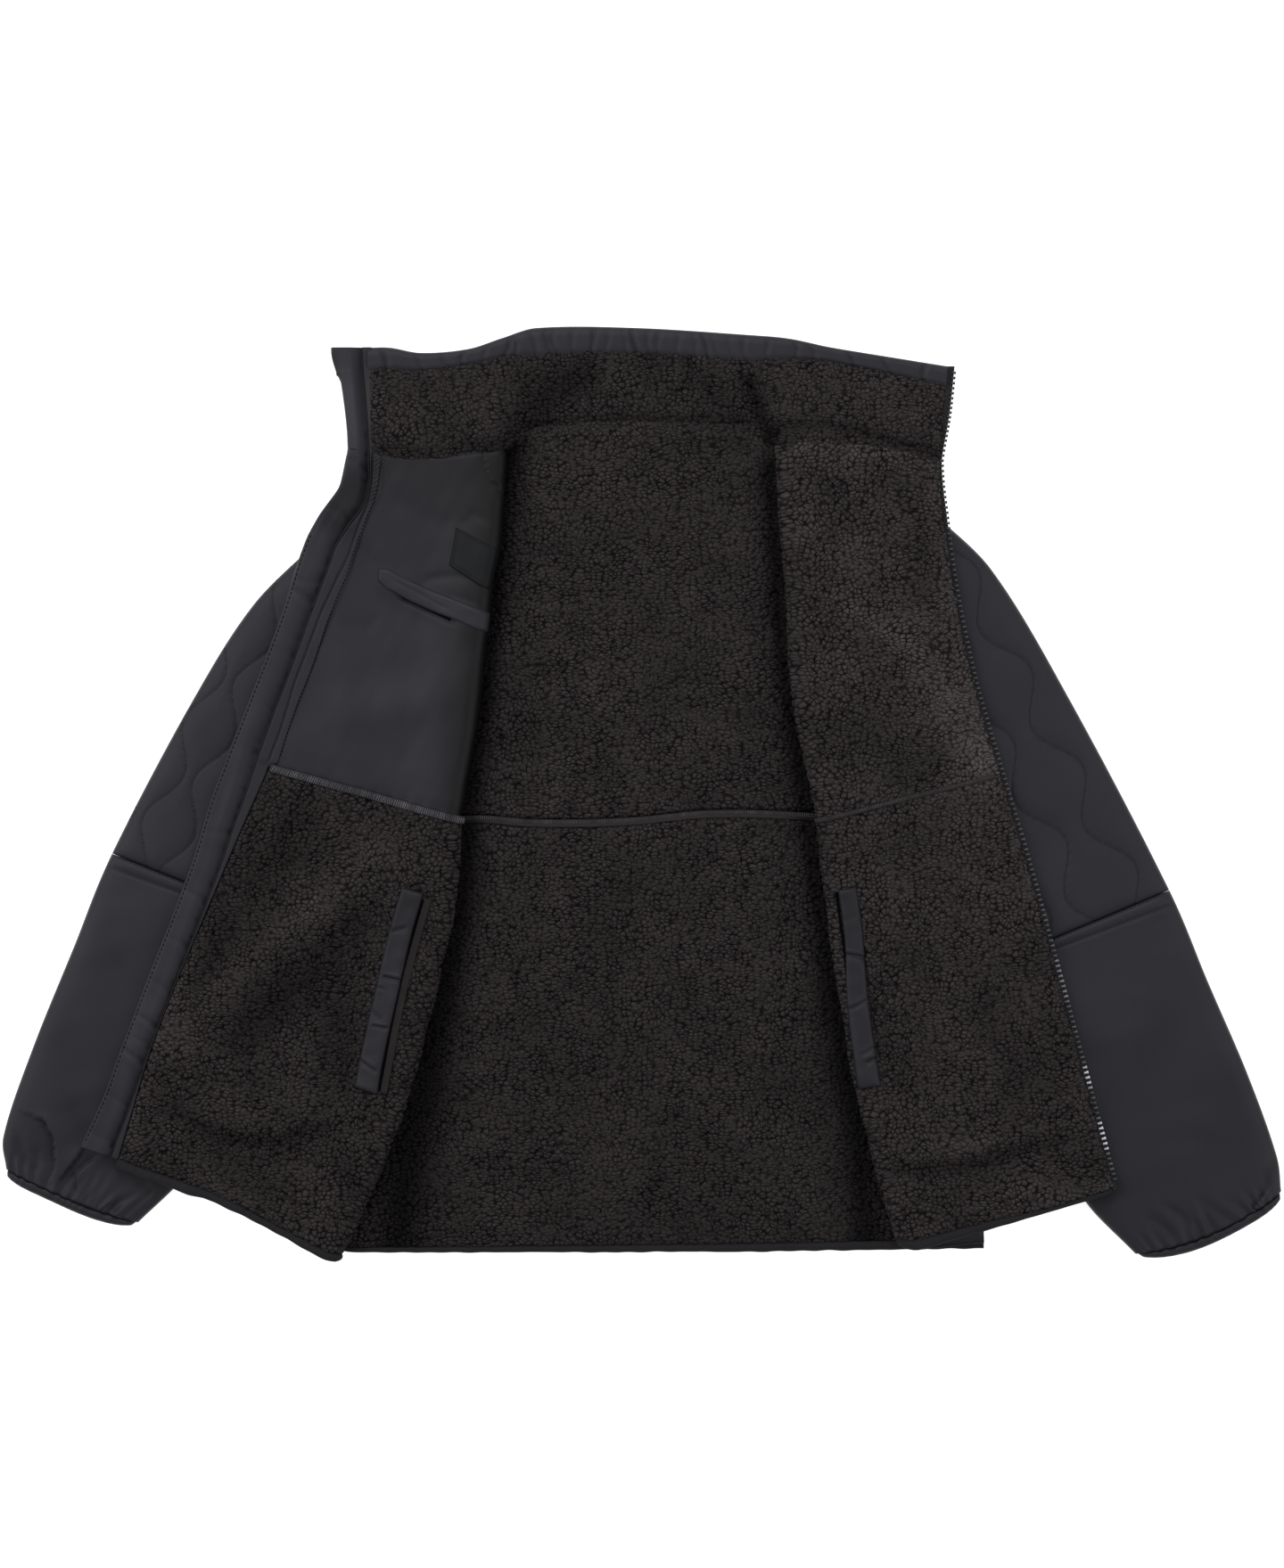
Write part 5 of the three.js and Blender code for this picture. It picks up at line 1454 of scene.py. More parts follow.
def make_right_edge():
    strip = EdgeStrip(RIGHT)
    far_up = strip.along
    along = far_up[:, None]
    # The facing: a tucked band between its stitching and a groove, then a plain one to the zip.
    on_nylon = ease((far_up - 321) / 5) * ease((577 - far_up) / 5)
    lines = (TOPSTITCH_AT, BAND_GROOVE_AT, BAND_END_AT)
    stitched, groove, end = (edge_offsets(far_up, line) for line in lines)
    near, far = mix(-0.4, stitched, on_nylon), end
    shares = np.linspace(0, 1, 30)
    width = np.maximum(far - near, 1.6)[:, None]
    across = shares[None] * width
    place = near[:, None] + across
    from_groove = place - groove[:, None]
    in_groove = hump(from_groove, 0.8) * on_nylon[:, None]
    outer = ease((from_groove + 0.4) / 0.8) * on_nylon[:, None] + (1 - on_nylon[:, None])
    start = mix(LINING_IN + 1.2, LINING_OUT + 0.1, on_nylon)[:, None]
    level = mix(LINING_IN + 3.4, LINING_OUT + 1.0, on_nylon)[:, None] - 0.9 * outer * on_nylon[:, None]
    high = start + (level - start) * rounded(across, 1.5)
    high = (LINING_IN + 0.3) + (high - LINING_IN - 0.3) * rounded(width - across + 0.2, 2.0) - 1.3 * in_groove
    turn = 2 * np.pi * (along + 0.9 * place) / TUCKS["pitch"] + 1.3 * wander(along, 0 * along, 19, 29)
    uneven = np.clip(0.55 + 0.9 * wander(along, 0 * along, 60, 23), 0.1, 1.3)
    tucks = uneven * np.sin(turn) * ease(across / 0.8) * ease(-from_groove / 2.5) * on_nylon[:, None]
    high = high + TUCKS["deep"] * tucks
    # Painted shade: darker at both long edges of the band, in its groove and in the tucks' hollows, and from
    # the flap's shading table.
    tone = 0.94 - 0.12 * outer - 0.55 * hump(across, 0.9) - 0.36 * in_groove - 0.22 * np.clip(-tucks, 0, 1)
    tone = tone - 0.5 * hump(width - across, 1.0)
    grid_tone = painted_shading(strip.points(place), FLAP_PAINTED_SHADING)
    high = np.maximum(high, LINING_IN + 0.4)
    facing = strip_piece("front_facing_right", strip, shares, LINING_IN - 0.2, high, near, near + width[:, 0],
                         np.maximum(tone, 0.25) * grid_tone)
    strip_piece("zip_tape_right", strip, np.linspace(0, 1, 5), -0.6, 0.1, end - 4.0, end + 0.8,
                material=TAPE, slot="tape")
    # The storm flap lies outside the zip and carries crosswise puckers.
    near = end - 0.6
    stitches = np.where(far_up < 470, edge_offsets(far_up, FLAP_STITCH_AT), 0)
    neck_in = 3.0 * hump(far_up - 516, 20)
    far = smoothed(np.maximum(strip.flap - neck_in, stitches + FLAP_HEM), 6)
    tab = far_up - far_up[-1] + 24  # the tab that curls at the collar
    far = far + 3.0 * ease(tab / 3) * np.clip(1 - tab / 24, 0, 1)
    shares = np.linspace(0, 1, 34)
    width = np.maximum(far - near, 4)[:, None]
    across = shares[None] * width
    slope = np.interp(far_up, [100, 200, 330, 480, 560], [9, 11, 14, 14, 10])[:, None]
    down = 1 - ease(across / slope)
    body = rounded(across, 1.6) * (1 - 0.75 * down) * (0.3 + 0.7 * rounded(width - across, 2.2))
    high = SHELL_OUT + 0.7 + (FLAP["over"] + 1.5 - SHELL_OUT - 0.7) * body
    puckers = 0
    for at, deep, wide, slant in FLAP_PUCKERS:
        line = along - at - slant * (across - width / 2)
        fade = ease((width - across) / 3 + 0.15) * (0.55 + 0.45 * down)
        puckers = puckers + deep * fade * hump(line, wide)
        puckers = puckers - 0.45 * deep * fade * hump(line + 2.1 * wide, 1.7 * wide)
    for i in range(46):
        at = 6 + 13.2 * i + 7 * scatter(i, 3)
        deep, wide = 0.35 + scatter(i, 4), 1.1 + 1.2 * scatter(i, 6)
        line = along - at - (0.5 * scatter(i, 7) - 0.1) * across
        puckers = puckers + deep * hump(line, wide) * ease(1 - across / (3 + 8 * scatter(i, 8)))
    high = high - puckers + 0.4 * wander(along, across * 2.2, 46, 8) * rounded(across, 6)
    from_rim = width - across
    in_line = hump(from_rim - FLAP_HEM, 0.7) * (along < 520)
    high = np.maximum(high - 0.55 * in_line, SHELL_OUT + 0.5)
    # Painted shade: darker down the slope towards the zip, in the puckers and along the stitch line, and from
    # the flap's shading table; it is also darker low down.
    tone = (1.16 - 0.66 * down ** 1.3) * (1 - 0.14 * np.clip(puckers, 0, 2)) * (1 - 0.16 * in_line)
    tone = tone * (1 - 0.1 * ease((150 - along) / 60))
    tone = tone * painted_shading(strip.points(near[:, None] + across), FLAP_PAINTED_SHADING)
    flap = strip_piece("storm_flap", strip, shares, SHELL_OUT, high, near, near + width[:, 0],
                       np.maximum(tone, 0.15))

    def line_up(offset, low, high):
        return strip.points(offset[:, None])[:, 0, :2][(far_up > low) & (far_up < high)]

    topstitch = line_up(stitched + 0.5, 330, 570)
    return (facing, topstitch), (flap, line_up(near + width[:, 0] - FLAP_HEM, 5, 500))


NECK_DIP = {"at": 568, "wide": 34, "deep": 0.62}  # where the zip turns on edge beside the neck


def make_left_edge():
    strip = EdgeStrip(LEFT)
    shares = np.linspace(0, 1, 9)
    high = 0.7 + 0.3 * np.sin(np.linspace(0, np.pi, 9))[None]
    dip = 1 - NECK_DIP["deep"] * hump(strip.along - NECK_DIP["at"], NECK_DIP["wide"])
    shown = TAPE_SIZES["shown"] * dip
    # Painted highlight: a lighter line along the tape's ridge.
    ridge = 1.0 + 0.9 * hump(shares - 0.36, 0.07)
    strip_piece("zip_tape_left", strip, shares, TAPE_SIZES["low"], np.broadcast_to(high, (len(strip.p), 9)),
                np.full(len(strip.p), -2.2), shown - 1.2, ridge, TAPE, "tape")
    return strip, shown


# ---- sleeves ----
def round_profile(q):
    """How full a flattened sleeve is at share q of its half width."""
    return (1 - np.clip(np.abs(q), 0, 1) ** 9) ** (1 / 2.2)


def sleeve_rings(arm, s, top, low, rise):
    plan = arm.rings(s, join([top, low]))
    high = arm.high(s)[:, None]
    middle = 0.42 * high
    full = round_profile(top)[None]
    z_top = middle + (high - middle) * full + rise(plan[:, :len(top)], s) * full
    z_low = middle - middle * round_profile(low)[None]
    z = join([z_top, z_low], axis=1)
    return join([plan, z[..., None]], axis=-1)


def slit_rings(arm, s, top, low, gap, wall, along=0.0):
    half = arm.half(s)[:, None]
    across = join([top, low])[None] * (half - wall) / half
    outer, inner = arm.outer(s)[:, None], arm.inner(s)[:, None]
    plan = mix(outer, inner, (across[..., None] + 1) / 2) + arm.end * along
    middle = 0.46 * arm.high(s)[:, None]
    bulge = join([round_profile(top), -round_profile(low)])[None]
    z = middle + gap / 2 * bulge
    return join([plan, z[..., None]], axis=-1)


def ring_shares(count, low_count):
    turn = np.linspace(-1, 1, count)
    top = turn + 0.12 * np.sin(np.pi * turn) / np.pi
    low = np.linspace(1, -1, low_count + 2)[1:-1]
    return top / np.abs(top).max(), low


ELBOW_BAND = 7.0
RING_POINTS = (112, 22)  # on the upper and the lower side of a sleeve's ring
GATHERS = {"reach": 34, "count": 19}


def sleeve_shade_and_tone(arm, outer, s, part, creases):
    """Painted shade in the seams, quilting lines and creases, with uneven tone; the cloth also turns darker
    towards the cuff.
    """
    x, y = outer[..., 0], outer[..., 1]
    tone = 1 + 0.05 * wander(x, y, 80, 41)
    below = (s - arm.elbow)[:, None] + 0 * x
    if part == "upper":
        gap, _ = arm.quilting(outer)
        tone = tone - 0.34 * hump(gap, 1.0) - 0.05 * hump(gap, 6.0)
        tone = tone - 0.3 * hump(below, 1.6) - 0.1 * hump(below, 9.0)
    else:
        tone = tone * (0.98 - 0.14 * ease(below / (arm.cuff - arm.elbow)))
        tone = tone - 0.3 * hump(below - ELBOW_BAND - 0.6, 1.1)
        tone = tone - 0.1 * np.clip(creased(outer, creases), -0.6, 3)
    return tone


def make_sleeve(arm, creases):
    name = f"sleeve_{arm.side}"
    pieces = {}

    def quilted(plan, s):
        gap, along = arm.quilting(plan)
        x, y = plan[..., 0], plan[..., 1]
        puff = QUILT["puff"] * (1 - hump(gap, QUILT["shoulder"]))
        groove = QUILT["depth"] * hump(gap, QUILT["groove"])
        pucker = 0.22 * np.sin(along / 1.15 + 3 * wander(x, y, 50, 2)) * hump(gap, 4.0)
        ends = np.minimum(s, arm.elbow - s)[:, None]
        into_seam = 1.7 * hump(ends, 2.4)
        return (puff - groove + pucker + 0.35 * wander(x, y, 60, 6)) * ease(ends / 9) - into_seam

    def plain(plan, s):
        x, y = plan[..., 0], plan[..., 1]
        below = (s - arm.elbow)[:, None]
        band = 0.8 * ease((below - 0.4) / 1.6) * ease((ELBOW_BAND - below) / 1.6)
        dips = 1.3 * hump(below - ELBOW_BAND - 0.6, 1.1) + 1.0 * hump(below + 0.2, 1.3)
        near = ease(1 - (arm.cuff - s) / GATHERS["reach"])[:, None]
        q = np.linspace(-1, 1, plan.shape[1])[None]
        waves = np.sin(GATHERS["count"] * q * 2.1 + 2.2 * wander(x, y, 60, 14))
        waves = waves * (0.6 + 0.6 * wander(x, y, 40, 17))
        body = 0.7 * wander(x, y, 110, 11) + 0.25 * wander(x, y, 38, 12)
        return (body - creased(plan, creases) + 1.3 * near ** 1.5 * waves) * ease(below / 12) + band - dips

    top, low = ring_shares(*RING_POINTS)
    for part, s0, s1, rise, step in (
        ("upper", 0.0, arm.elbow - SEAM / 2, quilted, 1.7),
        ("lower", arm.elbow + SEAM / 2, arm.cuff, plain, 1.9),
    ):
        s = steps(s0, s1, step)
        outer = sleeve_rings(arm, s, top, low, rise)
        inner = slit_rings(arm, np.linspace(s0, s1, 5), top, low, 1.6, 4.5)
        tone = sleeve_shade_and_tone(arm, outer, s, part, creases)
        pieces[part] = tube_piece(f"{name}_{part}_cloth", outer, inner, tone, 1.0)
    # The binding draws in to a narrow roll round the cuff and tucks away at both ends.
    along = np.array([-1.6, -0.8, 0.0, 0.8, 2.0, 3.6, 5.2, 6.4, 7.2, 7.6])
    fat = np.array([-2.6, -2.0, -1.7, -0.5, 0.2, 0.4, 0.0, -1.0, -2.4, -4.2])
    across = join([top, low])
    short = 1 - 0.45 * np.abs(across) ** 6

    def band(a, f):
        plan = arm.rings(np.full(1, arm.cuff), across * (0.97 - 0.002 * max(a, 0) ** 1.4))[0]
        sway = 0.5 * np.sin(4.1 * across) * (a > 0)
        plan = plan + arm.end * (np.where(a > 0, a * short, a) + sway)[:, None]
        high = float(arm.high(np.array([arm.cuff]))[0]) - 1.0
        middle = 0.42 * high
        full = join([round_profile(top), round_profile(low)])
        pucker = 0.35 * np.sin(46 * across + 4 * np.sin(7 * across)) * (f < 0.4)
        on_top = np.arange(len(across)) < len(top)
        rise = np.where(on_top, high - middle + f + pucker, 0.1 - middle) * full
        return np.column_stack([plan, middle + rise])

    rings = np.array([band(a, f) for a, f in zip(along, fat)])
    inner = np.array([
        slit_rings(arm, np.full(1, arm.cuff), top, low, 3.0, 6.0, a)[0] for a in (along[0], along[-1] - 2.4)
    ])
    # Painted shade where the binding tucks under at both ends, and painted light over the roll's top.
    shade = np.interp(along, [-1.6, 0, 1, 5, 7.6], [0.5, 0.42, 0.8, 0.88, 0.62])[:, None] + 0 * across[None]
    tube_piece(f"cuff_binding_{arm.side}_band", rings, inner, shade, 0.5)
    return pieces


# ---- bindings along the hems ----
HEM_LAP = 1.8


def hem_band(side, edge, out, normals, width, lap=HEM_LAP):
    """A rolled strip that takes in an edge, from the edge's points, way out and normals, its width at each
    point, and how far it laps over the edge."""
    turn = np.linspace(0, 2 * np.pi, 17)[:-1]
    low, high = SHELL_OUT, LINING_OUT - 0.2
    middle, thick = (low + high) / 2, (high - low) / 2
    x = np.abs(np.cos(turn)) ** 0.8 * np.sign(np.cos(turn))
    z = np.abs(np.sin(turn)) ** 0.8 * np.sign(np.sin(turn))
    along = lengths(edge)
    ripple = 1 + 0.07 * wander(along, 0 * along, 26, 4)
    half = ((width * ripple + lap) / 2)[:, None]
    reach = half * (1 + x[None]) - np.reshape(lap, (-1, 1))
    puckers = 0.22 * np.sin(along / 1.1 + 2 * wander(along, 0 * along, 22, 9))[:, None]
    puckers = puckers * np.clip(z, 0, 1)[None]
    lift = middle + thick * z[None] + puckers - 1.4 * (np.clip(-x, 0, 1) * np.clip(z, 0, 1))[None]
    rings = edge[:, None] + out[:, None] * reach[..., None] + normals[:, None] * lift[..., None]
    points = rings.reshape(-1, 3)
    faces = outward(points, ring_faces(len(edge), len(turn)))
    piece = make_piece(f"hem_binding_{side}_band", points, faces, BINDING)
    stand_in(piece)
    flat = (max(float((width + lap + high - low).mean()) * MM, LEAST_SIDE), float(along[-1]) * MM)
    min(area_of(closed(rings)) / 2, flat[0] * flat[1])


def make_hems():
    for front in (RIGHT, LEFT):
        s = np.array([0.0, 5.0, 10.0])
        over = steps(0, 1, 1.2 / 170)[1:]
        grid, normals, _, past = front.grid(s, steps(0, 1, 4 / 80), roll_columns(14), over)
        out = unit(grid[0] - grid[1])
        wide = np.full(grid.shape[1], 2.4)
        if front is RIGHT:
            wide = 5.2 + 2.4 * ease((-330 - grid[0, :, 0]) / 14)
        lap = HEM_LAP + hem_shown(front, past[0])
        hem_band(front.hand, grid[0], out, normals[0], wide, lap)
    u = steps(0, 1, 1.4 / 540)
    grid = back_grid(BACK_HEM, BACK_SEAM, u, np.array([0.0, 0.02]))
    out = unit(grid[0] - grid[1])
    normals = np.tile([0.0, 0.0, 1.0], (len(u), 1))
    hem_band("back", grid[0], out, normals, mix(2.6, 7.0, u))


# ---- patch ----
def make_patch():
    s, past = steps(RIGHT.at("patchLow"), RIGHT.at("patchHigh"), 1.0), steps(0, 30, 1.0)
    S, P = np.meshgrid(s, past, indexing="ij")
    grid = roll_patch(RIGHT, S + 2.5 - 0.2 * (26 - P), P - 4.6)
    normals = up_facing(grid_normals(grid))
    edge = np.minimum(np.minimum(S - s[0], s[-1] - S), np.minimum(P, 30 - P))
    high = LINING_OUT + SEAM + 1.0 * rounded(edge, 1.0) - 0.35 * hump(edge - 2.6, 0.7)
    high = high + 0.25 * wander(grid[..., 0], grid[..., 1], 22, 2)
    # Painted shade along the stitched groove and at the rim.
    line = 0.62 * hump(edge - 2.6, 0.8) + 0.45 * hump(edge, 0.9)
    wall("blank_patch_cloth", grid, normals, LINING_OUT - 0.8, high, "front_right_lining_upper_cloth", "laid",
         PATCH, "patch", 1 - line)


# ---- sewing ----
DROP_HEIGHT = 0.08  # metres, above the whole jacket


def stitch_shape(length, radius):
    """One stitch of thread, its ends going down into the cloth."""
    turn = np.linspace(0, 2 * np.pi, 6)[:-1]
    points = []
    for t, fat, drop in ((-1, 0.45, -0.9), (-0.5, 1, 0.1), (0.5, 1, 0.1), (1, 0.45, -0.9)):
        points += [
            (t * length / 2, radius * fat * math.cos(a), radius * (fat * math.sin(a) + drop)) for a in turn
        ]
    return np.array(points), ring_faces(4, len(turn))


def surface_of(piece):
    return BVHTree.FromObject(piece, bpy.context.evaluated_depsgraph_get())


def dropped(tree, plan):
    """Places on a cloth below plan points, with its normals, and whether the cloth is there."""
    points, normals, found = [], [], []
    for x, y in plan:
        start = Vector(((x + SHIFT[0]) * MM, (y + SHIFT[1]) * MM, DROP_HEIGHT))
        place, normal, _, _ = tree.ray_cast(start, Vector((0, 0, -1)))
        found.append(place is not None)
        if place is None:
            place, normal = start, Vector((0, 0, 1))
        points.append(np.array(place) / MM - SHIFT)
        normals.append(np.array(normal))
    return np.array(points), np.array(normals), np.array(found)


def place_copies(name, shape, centres, along, normals, material, tone=None):
    """One mesh of many copies of a shape, each turned along its line and standing on its normal."""
    base, polygons = shape
    along = unit(along)
    aside = unit(np.cross(normals, along))
    up = unit(np.cross(along, aside))
    turn = np.stack([along, aside, up], axis=1)
    points = centres[:, None] + np.einsum("vk,nkj->nvj", base, turn)
    first = np.arange(len(centres))[:, None, None] * len(base)
    faces = [(faces[None] + first).reshape(-1, faces.shape[1]) for faces in polygons]
    fields = {} if tone is None else {"tone": tone}
    points = points.reshape(-1, 3)
    make_piece(name, points, outward(points, faces), material, fields)


def sewn_line(name, tree, plan, length, gap, radius, material=THREAD):
    """Straight stitches along a plan line, laid on the cloth below it."""
    far = lengths(plan)
    at = np.arange(gap, far[-1] - gap, length + gap)
    at = at + 0.25 * gap * (scatter(np.arange(len(at)), 3) - 0.5)
    centre, ahead = along_chain(at, far, plan), along_chain(at + 0.5, far, plan)
    points, normals, found = dropped(tree, centre)
    way = np.column_stack([ahead - centre, np.zeros(len(at))])
    points = points + normals * (radius * 0.4)
    shape = stitch_shape(length, radius)
    place_copies(name, shape, points[found], way[found], normals[found], material)


# ---- zip teeth ----
TOOTH = {"pitch": 4.0, "long": 3.4, "wide": 2.3, "thick": 2.4}


def tooth_shape():
    """A moulded tooth: a foot on the tape, a waist and a rounded head, pointing along its own x."""
    outline = [(-0.5, 0.36), (-0.1, 0.3), (0.12, 0.34), (0.3, 0.5), (0.46, 0.42), (0.5, 0.2)]
    outline = outline + [(x, -y) for x, y in outline[::-1]]
    layers = [(-0.5, 0.86), (-0.3, 1.0), (0.3, 1.0), (0.5, 0.82)]
    size = np.array([TOOTH["long"], TOOTH["wide"], TOOTH["thick"]])
    points = np.array([(x, y * fat, z) for z, fat in layers for x, y in outline]) * size
    return points, ring_faces(len(layers), len(outline))


# Where up the zip the teeth catch the light, and how much.
SHINY_TEETH = [(-228, -204, 1.5), (-276, -246, 1.9), (-163, -122, 0.35)]


def zip_teeth(name, strip, distance, lift, start, stop):
    at = np.arange(start, stop, TOOTH["pitch"])
    grid = strip.points(distance[:, None])[:, 0]
    far = lengths(grid)
    centre, ahead = along_chain(at, far, grid), along_chain(at + 1, far, grid)
    way = unit(ahead - centre)
    up = np.tile([0.0, 0.0, 1.0], (len(at), 1))
    out = np.cross(way, up) * (1 if strip.front.sign > 0 else -1)
    shine = 0.1 + 0.14 * ease((60 - centre[:, 1]) / 200) * scatter(np.arange(len(at)), 6)
    for low, high, bright in SHINY_TEETH:
        shine = shine + bright * ease((centre[:, 1] - low) / 8) * ease((high - centre[:, 1]) / 8)
    shape = tooth_shape()
    tone = np.repeat(np.clip(shine, 0.1, 2.6), len(shape[0]))
    place_copies(name, shape, centre + up * lift, out, up, TEETH, tone)


# ---- the scene ----
def area_light(name, place, size, energy):
    """A softbox aimed at the middle of the floor."""
    light = bpy.data.lights.new(name, "AREA")
    light.shape, light.size, light.size_y, light.energy = "RECTANGLE", size[0], size[1], energy
    holder = bpy.data.objects.new(name, light)
    holder.location = place
    holder.rotation_euler = (-Vector(place)).to_track_quat("-Z", "Y").to_euler()
    bpy.context.scene.collection.objects.link(holder)


FLOOR_SIZE = 8.0


def make_stage():
    mesh = bpy.data.meshes.new("floor")
    half = FLOOR_SIZE / 2
    corners = [(-half, -half, 0), (half, -half, 0), (half, half, 0), (-half, half, 0)]
    mesh.from_pydata(corners, [], [(0, 1, 2, 3)])
    floor = bpy.data.objects.new("floor", mesh)
    floor.location.z = -0.3 * MM
    bpy.context.scene.collection.objects.link(floor)
    material, _, _ = new_material("pale_floor", Roughness=0.9, Base_Color=(0.45, 0.45, 0.45, 1),
                                  Emission_Color=(1, 1, 1, 1), Emission_Strength=0.85, Specular_IOR_Level=0.1)
    mesh.materials.append(material)

    world = bpy.data.worlds.new("soft_room")
    world.use_nodes = True
    background = world.node_tree.nodes["Background"]
    background.inputs["Color"].default_value = (1.0, 1.0, 1.0, 1)
    background.inputs["Strength"].default_value = 0.55
    bpy.context.scene.world = world
    area_light("head_softbox", (-0.5, 2.2, 2.2), (2.6, 1.4), 60)
    area_light("left_softbox", (-2.4, 0.2, 1.7), (1.6, 2.4), 34)
    area_light("right_softbox", (2.4, -0.4, 1.9), (1.6, 2.4), 28)
    view = bpy.context.scene.view_settings
    view.view_transform, view.look, view.exposure, view.gamma = "Standard", "None", 0.0, 1.0


CAMERA_HEIGHT = 4.5
FRAME_TALL = 1.196  # metres of the subject's plane across the frame's long side
SUBJECT_PLANE = 0.016


def make_camera():
    camera = bpy.data.cameras.new("overhead")
    camera.sensor_width = 36
    camera.lens = camera.sensor_width * CAMERA_HEIGHT / FRAME_TALL
    camera.clip_end = 50
    holder = bpy.data.objects.new("overhead", camera)
    holder.location = (SHIFT[0] * MM, (SHIFT[1] + 7.1) * MM, CAMERA_HEIGHT + SUBJECT_PLANE)
    bpy.context.scene.collection.objects.link(holder)
    bpy.context.scene.camera = holder


def sew(right_edge, sleeves):
    (facing, topstitch), (flap, flap_stitch) = right_edge
    sewn_line("facing_stitches", surface_of(facing), topstitch, 1.7, 1.2, 0.34, DARK_THREAD_AND_SHADE)
    sewn_line("storm_flap_stitches", surface_of(flap), flap_stitch, 2.2, 1.6, 0.34, DARK_THREAD_AND_SHADE)
    for arm, pieces in sleeves:
        upper_tree = surface_of(pieces["upper"])
        runs = []
        for k in range(-7, 8):
            along = np.arange(-200, 260, 2.0)
            path = arm.quilt_path(k, along)
            inside = inside_sleeve(arm, path)
            for run in np.split(np.arange(len(path)), np.where(np.diff(inside.astype(int)) != 0)[0] + 1):
                if inside[run[0]] and len(run) > 6:
                    runs.append(path[run])
        for i, run in enumerate(runs):
            sewn_line(f"quilting_{arm.side}_{i}", upper_tree, run, 2.2, 1.0, 0.3)
        lower_tree = surface_of(pieces["lower"])
        share = np.linspace(-0.93, 0.93, 80)
        for i, below in enumerate((1.3, ELBOW_BAND - 0.6)):
            line = arm.rings(np.array([arm.elbow + below]), share)[0]
            sewn_line(f"elbow_stitches_{arm.side}_{i}", lower_tree, line, 2.3, 1.0, 0.34)


def inside_sleeve(arm, path):
    """Which plan points lie on the upper sleeve, between its edges."""
    s = np.linspace(3, arm.elbow - 3, 120)
    outer, inner = arm.outer(s), arm.inner(s)
    loop = join([outer, inner[::-1]])
    x, y = path[:, 0], path[:, 1]
    count = np.zeros(len(path), int)
    for a, b in zip(loop, np.roll(loop, -1, axis=0)):
        crosses = (a[1] > y) != (b[1] > y)
        span = np.where(b[1] == a[1], 1e-9, b[1] - a[1])
        count += crosses & (x < (b[0] - a[0]) * (y - a[1]) / span + a[0])
    return count % 2 == 1


SEAM_STRIP_THICK = 2.4


def seam_band(name, grid, normals, high, material, slot, tone, on):
    """A low rounded strip over a seam, on rows of places across it."""
    across = lengths(grid[:, grid.shape[1] // 2])
    edge = np.minimum(across, across[-1] - across)[:, None]
    top = high * np.ones(grid.shape[:2]) - 1.3 * (1 - rounded(edge, 1.0))
    # Painted shade at the strip's rounded edges.
    shade = tone * (0.7 + 0.3 * rounded(edge, 1.2))
    wall(name, grid, normals, high - 2.6, top, on, "laid", material, slot, shade, skip=2,
         thick=SEAM_STRIP_THICK)


def overlock(name, line, aside, normals, height, pitch, radius, tone, seed):
    """Overlocked seam: slanting bars across the seam between two chained threads."""
    far = lengths(line)
    at = np.arange(pitch, far[-1] - pitch, pitch)
    at = at + 0.22 * pitch * (scatter(np.arange(len(at)), seed) - 0.5)
    centre, side, up = (along_chain(at, far, values) for values in (line, aside, normals))
    side, up = unit(side), unit(up)
    way = unit(np.cross(side, up))
    lean = 0.22 * (1 + 0.8 * (scatter(np.arange(len(at)), seed + 1) - 0.5))
    patchy = 0.9 + 0.35 * wander(at, 0 * at, 11, seed) + 0.3 * (scatter(np.arange(len(at)), seed + 2) - 0.5)
    shape = stitch_shape(height, radius)
    place_copies(f"{name}_bars", shape, centre, side + way * lean[:, None], up, GREY_THREAD,
                 np.repeat(tone * patchy, len(shape[0])))
    chain = stitch_shape(pitch * 0.9, radius * 0.8)
    for k, share in enumerate((-0.46, 0.46)):
        place_copies(f"{name}_chain_{k + 1}", chain, centre + side * share * height, way, up, GREY_THREAD,
                     np.repeat(0.6 * tone * patchy, len(chain[0])))


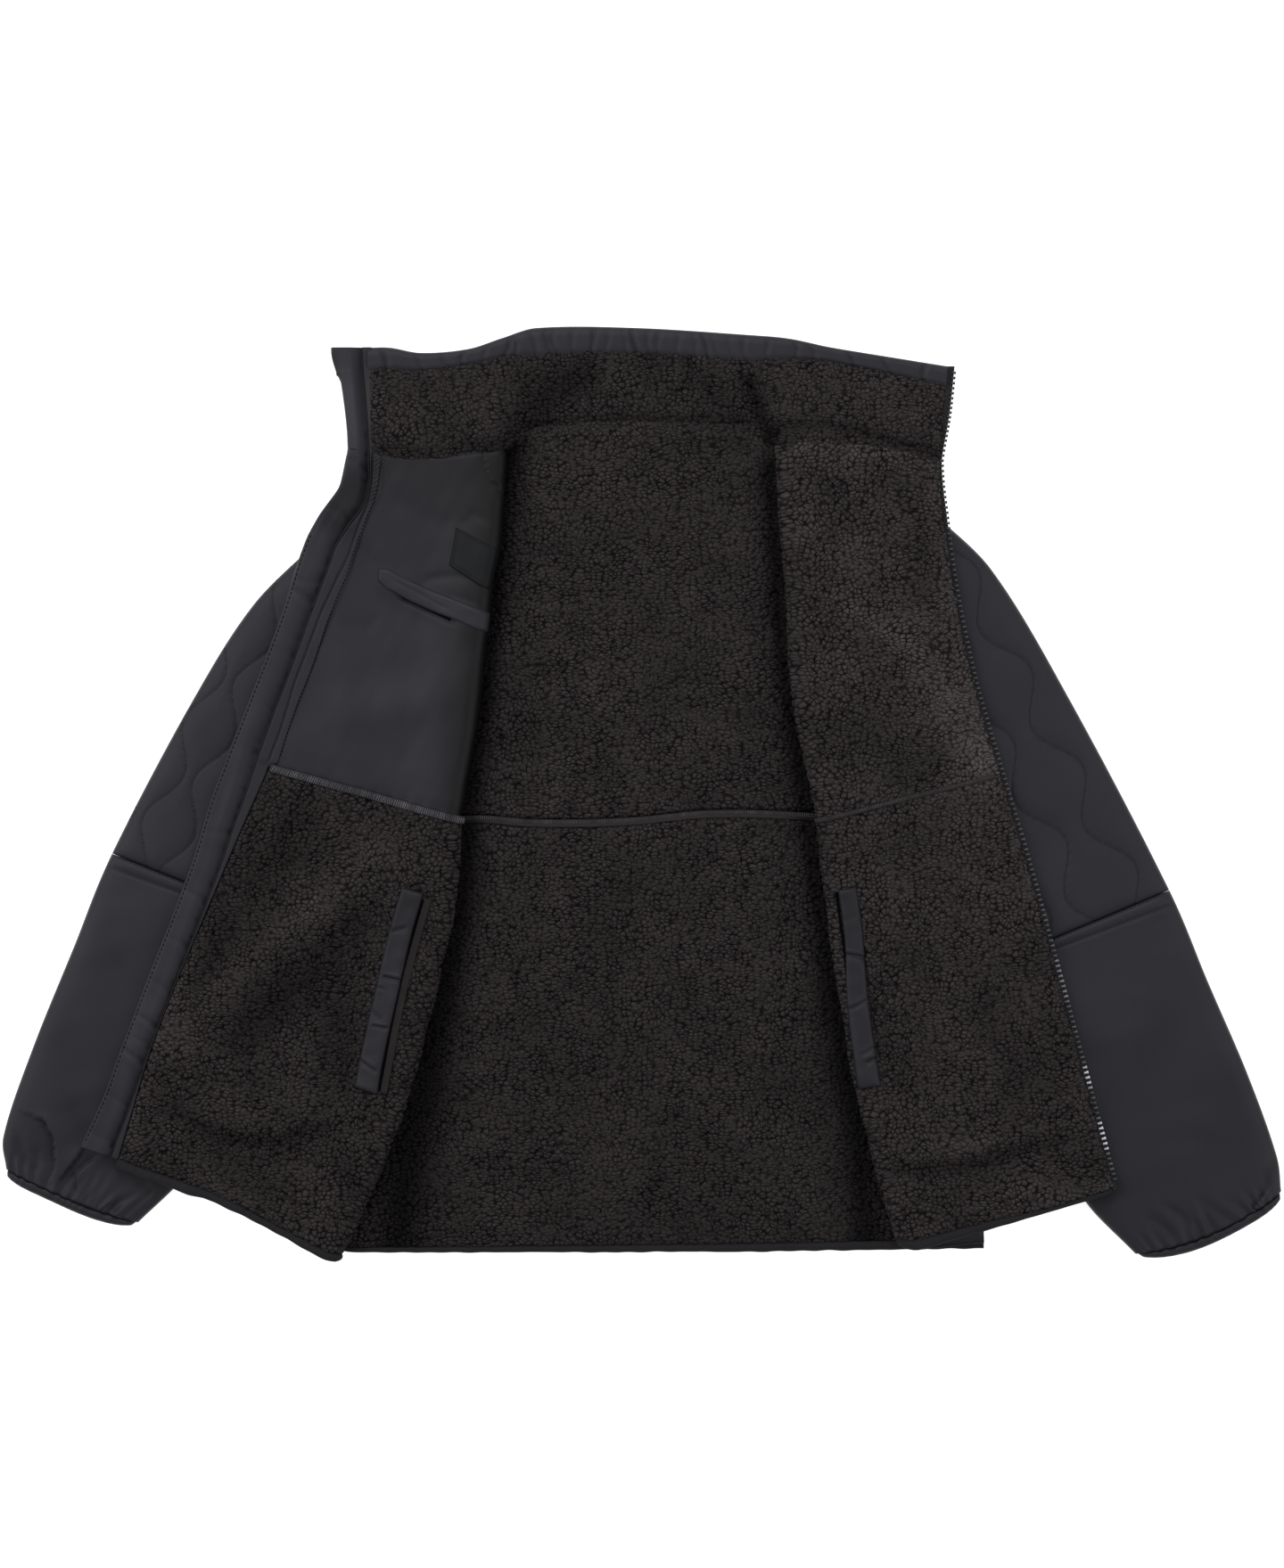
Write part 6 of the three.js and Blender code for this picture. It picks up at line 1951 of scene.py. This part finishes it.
def front_seam(front, low, high, lift, material, tone, stitches):
    """The strip and its overlocking over a front's lining seam, round the roll to the free edge."""
    _, _, _, reach = front.base(np.array([front.seam]))
    over = steps(0, 1 - 1.0 / reach[0], 1.6 / reach[0])[1:]
    s = front.seam + steps(low, high, 0.55)
    grid, normals, _, _ = front.grid(s, np.array([0.97, 0.985]), roll_columns(14), over)
    name, on = f"lining_seam_{front.hand}", f"front_{front.hand}_shell_cloth"
    seam_band(f"{name}_strip", grid, normals, lift, material, "shell", tone, on)
    height, pitch, radius, thread_tone, at = stitches
    row = int(np.argmin(np.abs(s - front.seam - at)))
    line = grid[row] + normals[row] * (lift + 0.15)
    overlock(name, line, grid[row + 1] - grid[row - 1], normals[row], height, pitch, radius, thread_tone, 3)


def make_seams():
    front_seam(RIGHT, -3.4, 2.9, LINING_OUT + 1.1, NYLON, 0.8, (5.2, 1.75, 0.42, 0.62, -0.2))
    front_seam(LEFT, -2.6, 1.4, LINING_OUT + 0.9, KNIT_EDGE, 0.85, (2.6, 1.6, 0.28, 0.36, 0.0))
    # The back's seam: a plain strip with fine overlocking along its upper edge.
    u = np.linspace(0.17, 0.83, 300)
    line = back_grid(BACK_SEAM, BACK_TOP, u, np.array([0.0]))[0]
    drop = steps(-BACK_SEAM_STRIP["low"], BACK_SEAM_STRIP["high"], 0.55)
    grid = line[None] + np.array([0.0, 1.0, 0.0]) * drop[:, None, None]
    up = np.zeros_like(grid)
    up[..., 2] = 1
    # Painted shade and light from the back's shading table carry on over the strip.
    tone = 0.8 * painted_shading(grid, BACK_PAINTED_SHADING)
    lift = LINING_OUT + 0.5
    seam_band("lining_seam_back_strip", grid, up, lift, KNIT_EDGE, "fleece", tone, "back_shell_cloth")
    stitched = line + np.array([0.0, -0.6, lift + 0.15])
    aside = np.tile([0.0, 1.0, 0.0], (len(u), 1))
    overlock("lining_seam_back", stitched, aside, up[0], 2.8, 1.6, 0.28, 0.42, 5)


make_camera()
make_stage()
make_back()
RIGHT_ARM_PIECES = make_sleeve(RIGHT_ARM, RIGHT_SLEEVE_CREASES)
LEFT_ARM_PIECES = make_sleeve(LEFT_ARM, LEFT_SLEEVE_CREASES)
make_fronts()
make_collar()
RIGHT_EDGE = make_right_edge()
LEFT_STRIP, TAPE_SHOWN = make_left_edge()
make_hems()
make_patch()
zip_teeth("zip_teeth_left", LEFT_STRIP, TAPE_SHOWN - 1.4, 1.0, 8, lengths(LEFT_STRIP.p)[-1] - 4)
sew(RIGHT_EDGE, [(RIGHT_ARM, RIGHT_ARM_PIECES), (LEFT_ARM, LEFT_ARM_PIECES)])
make_seams()
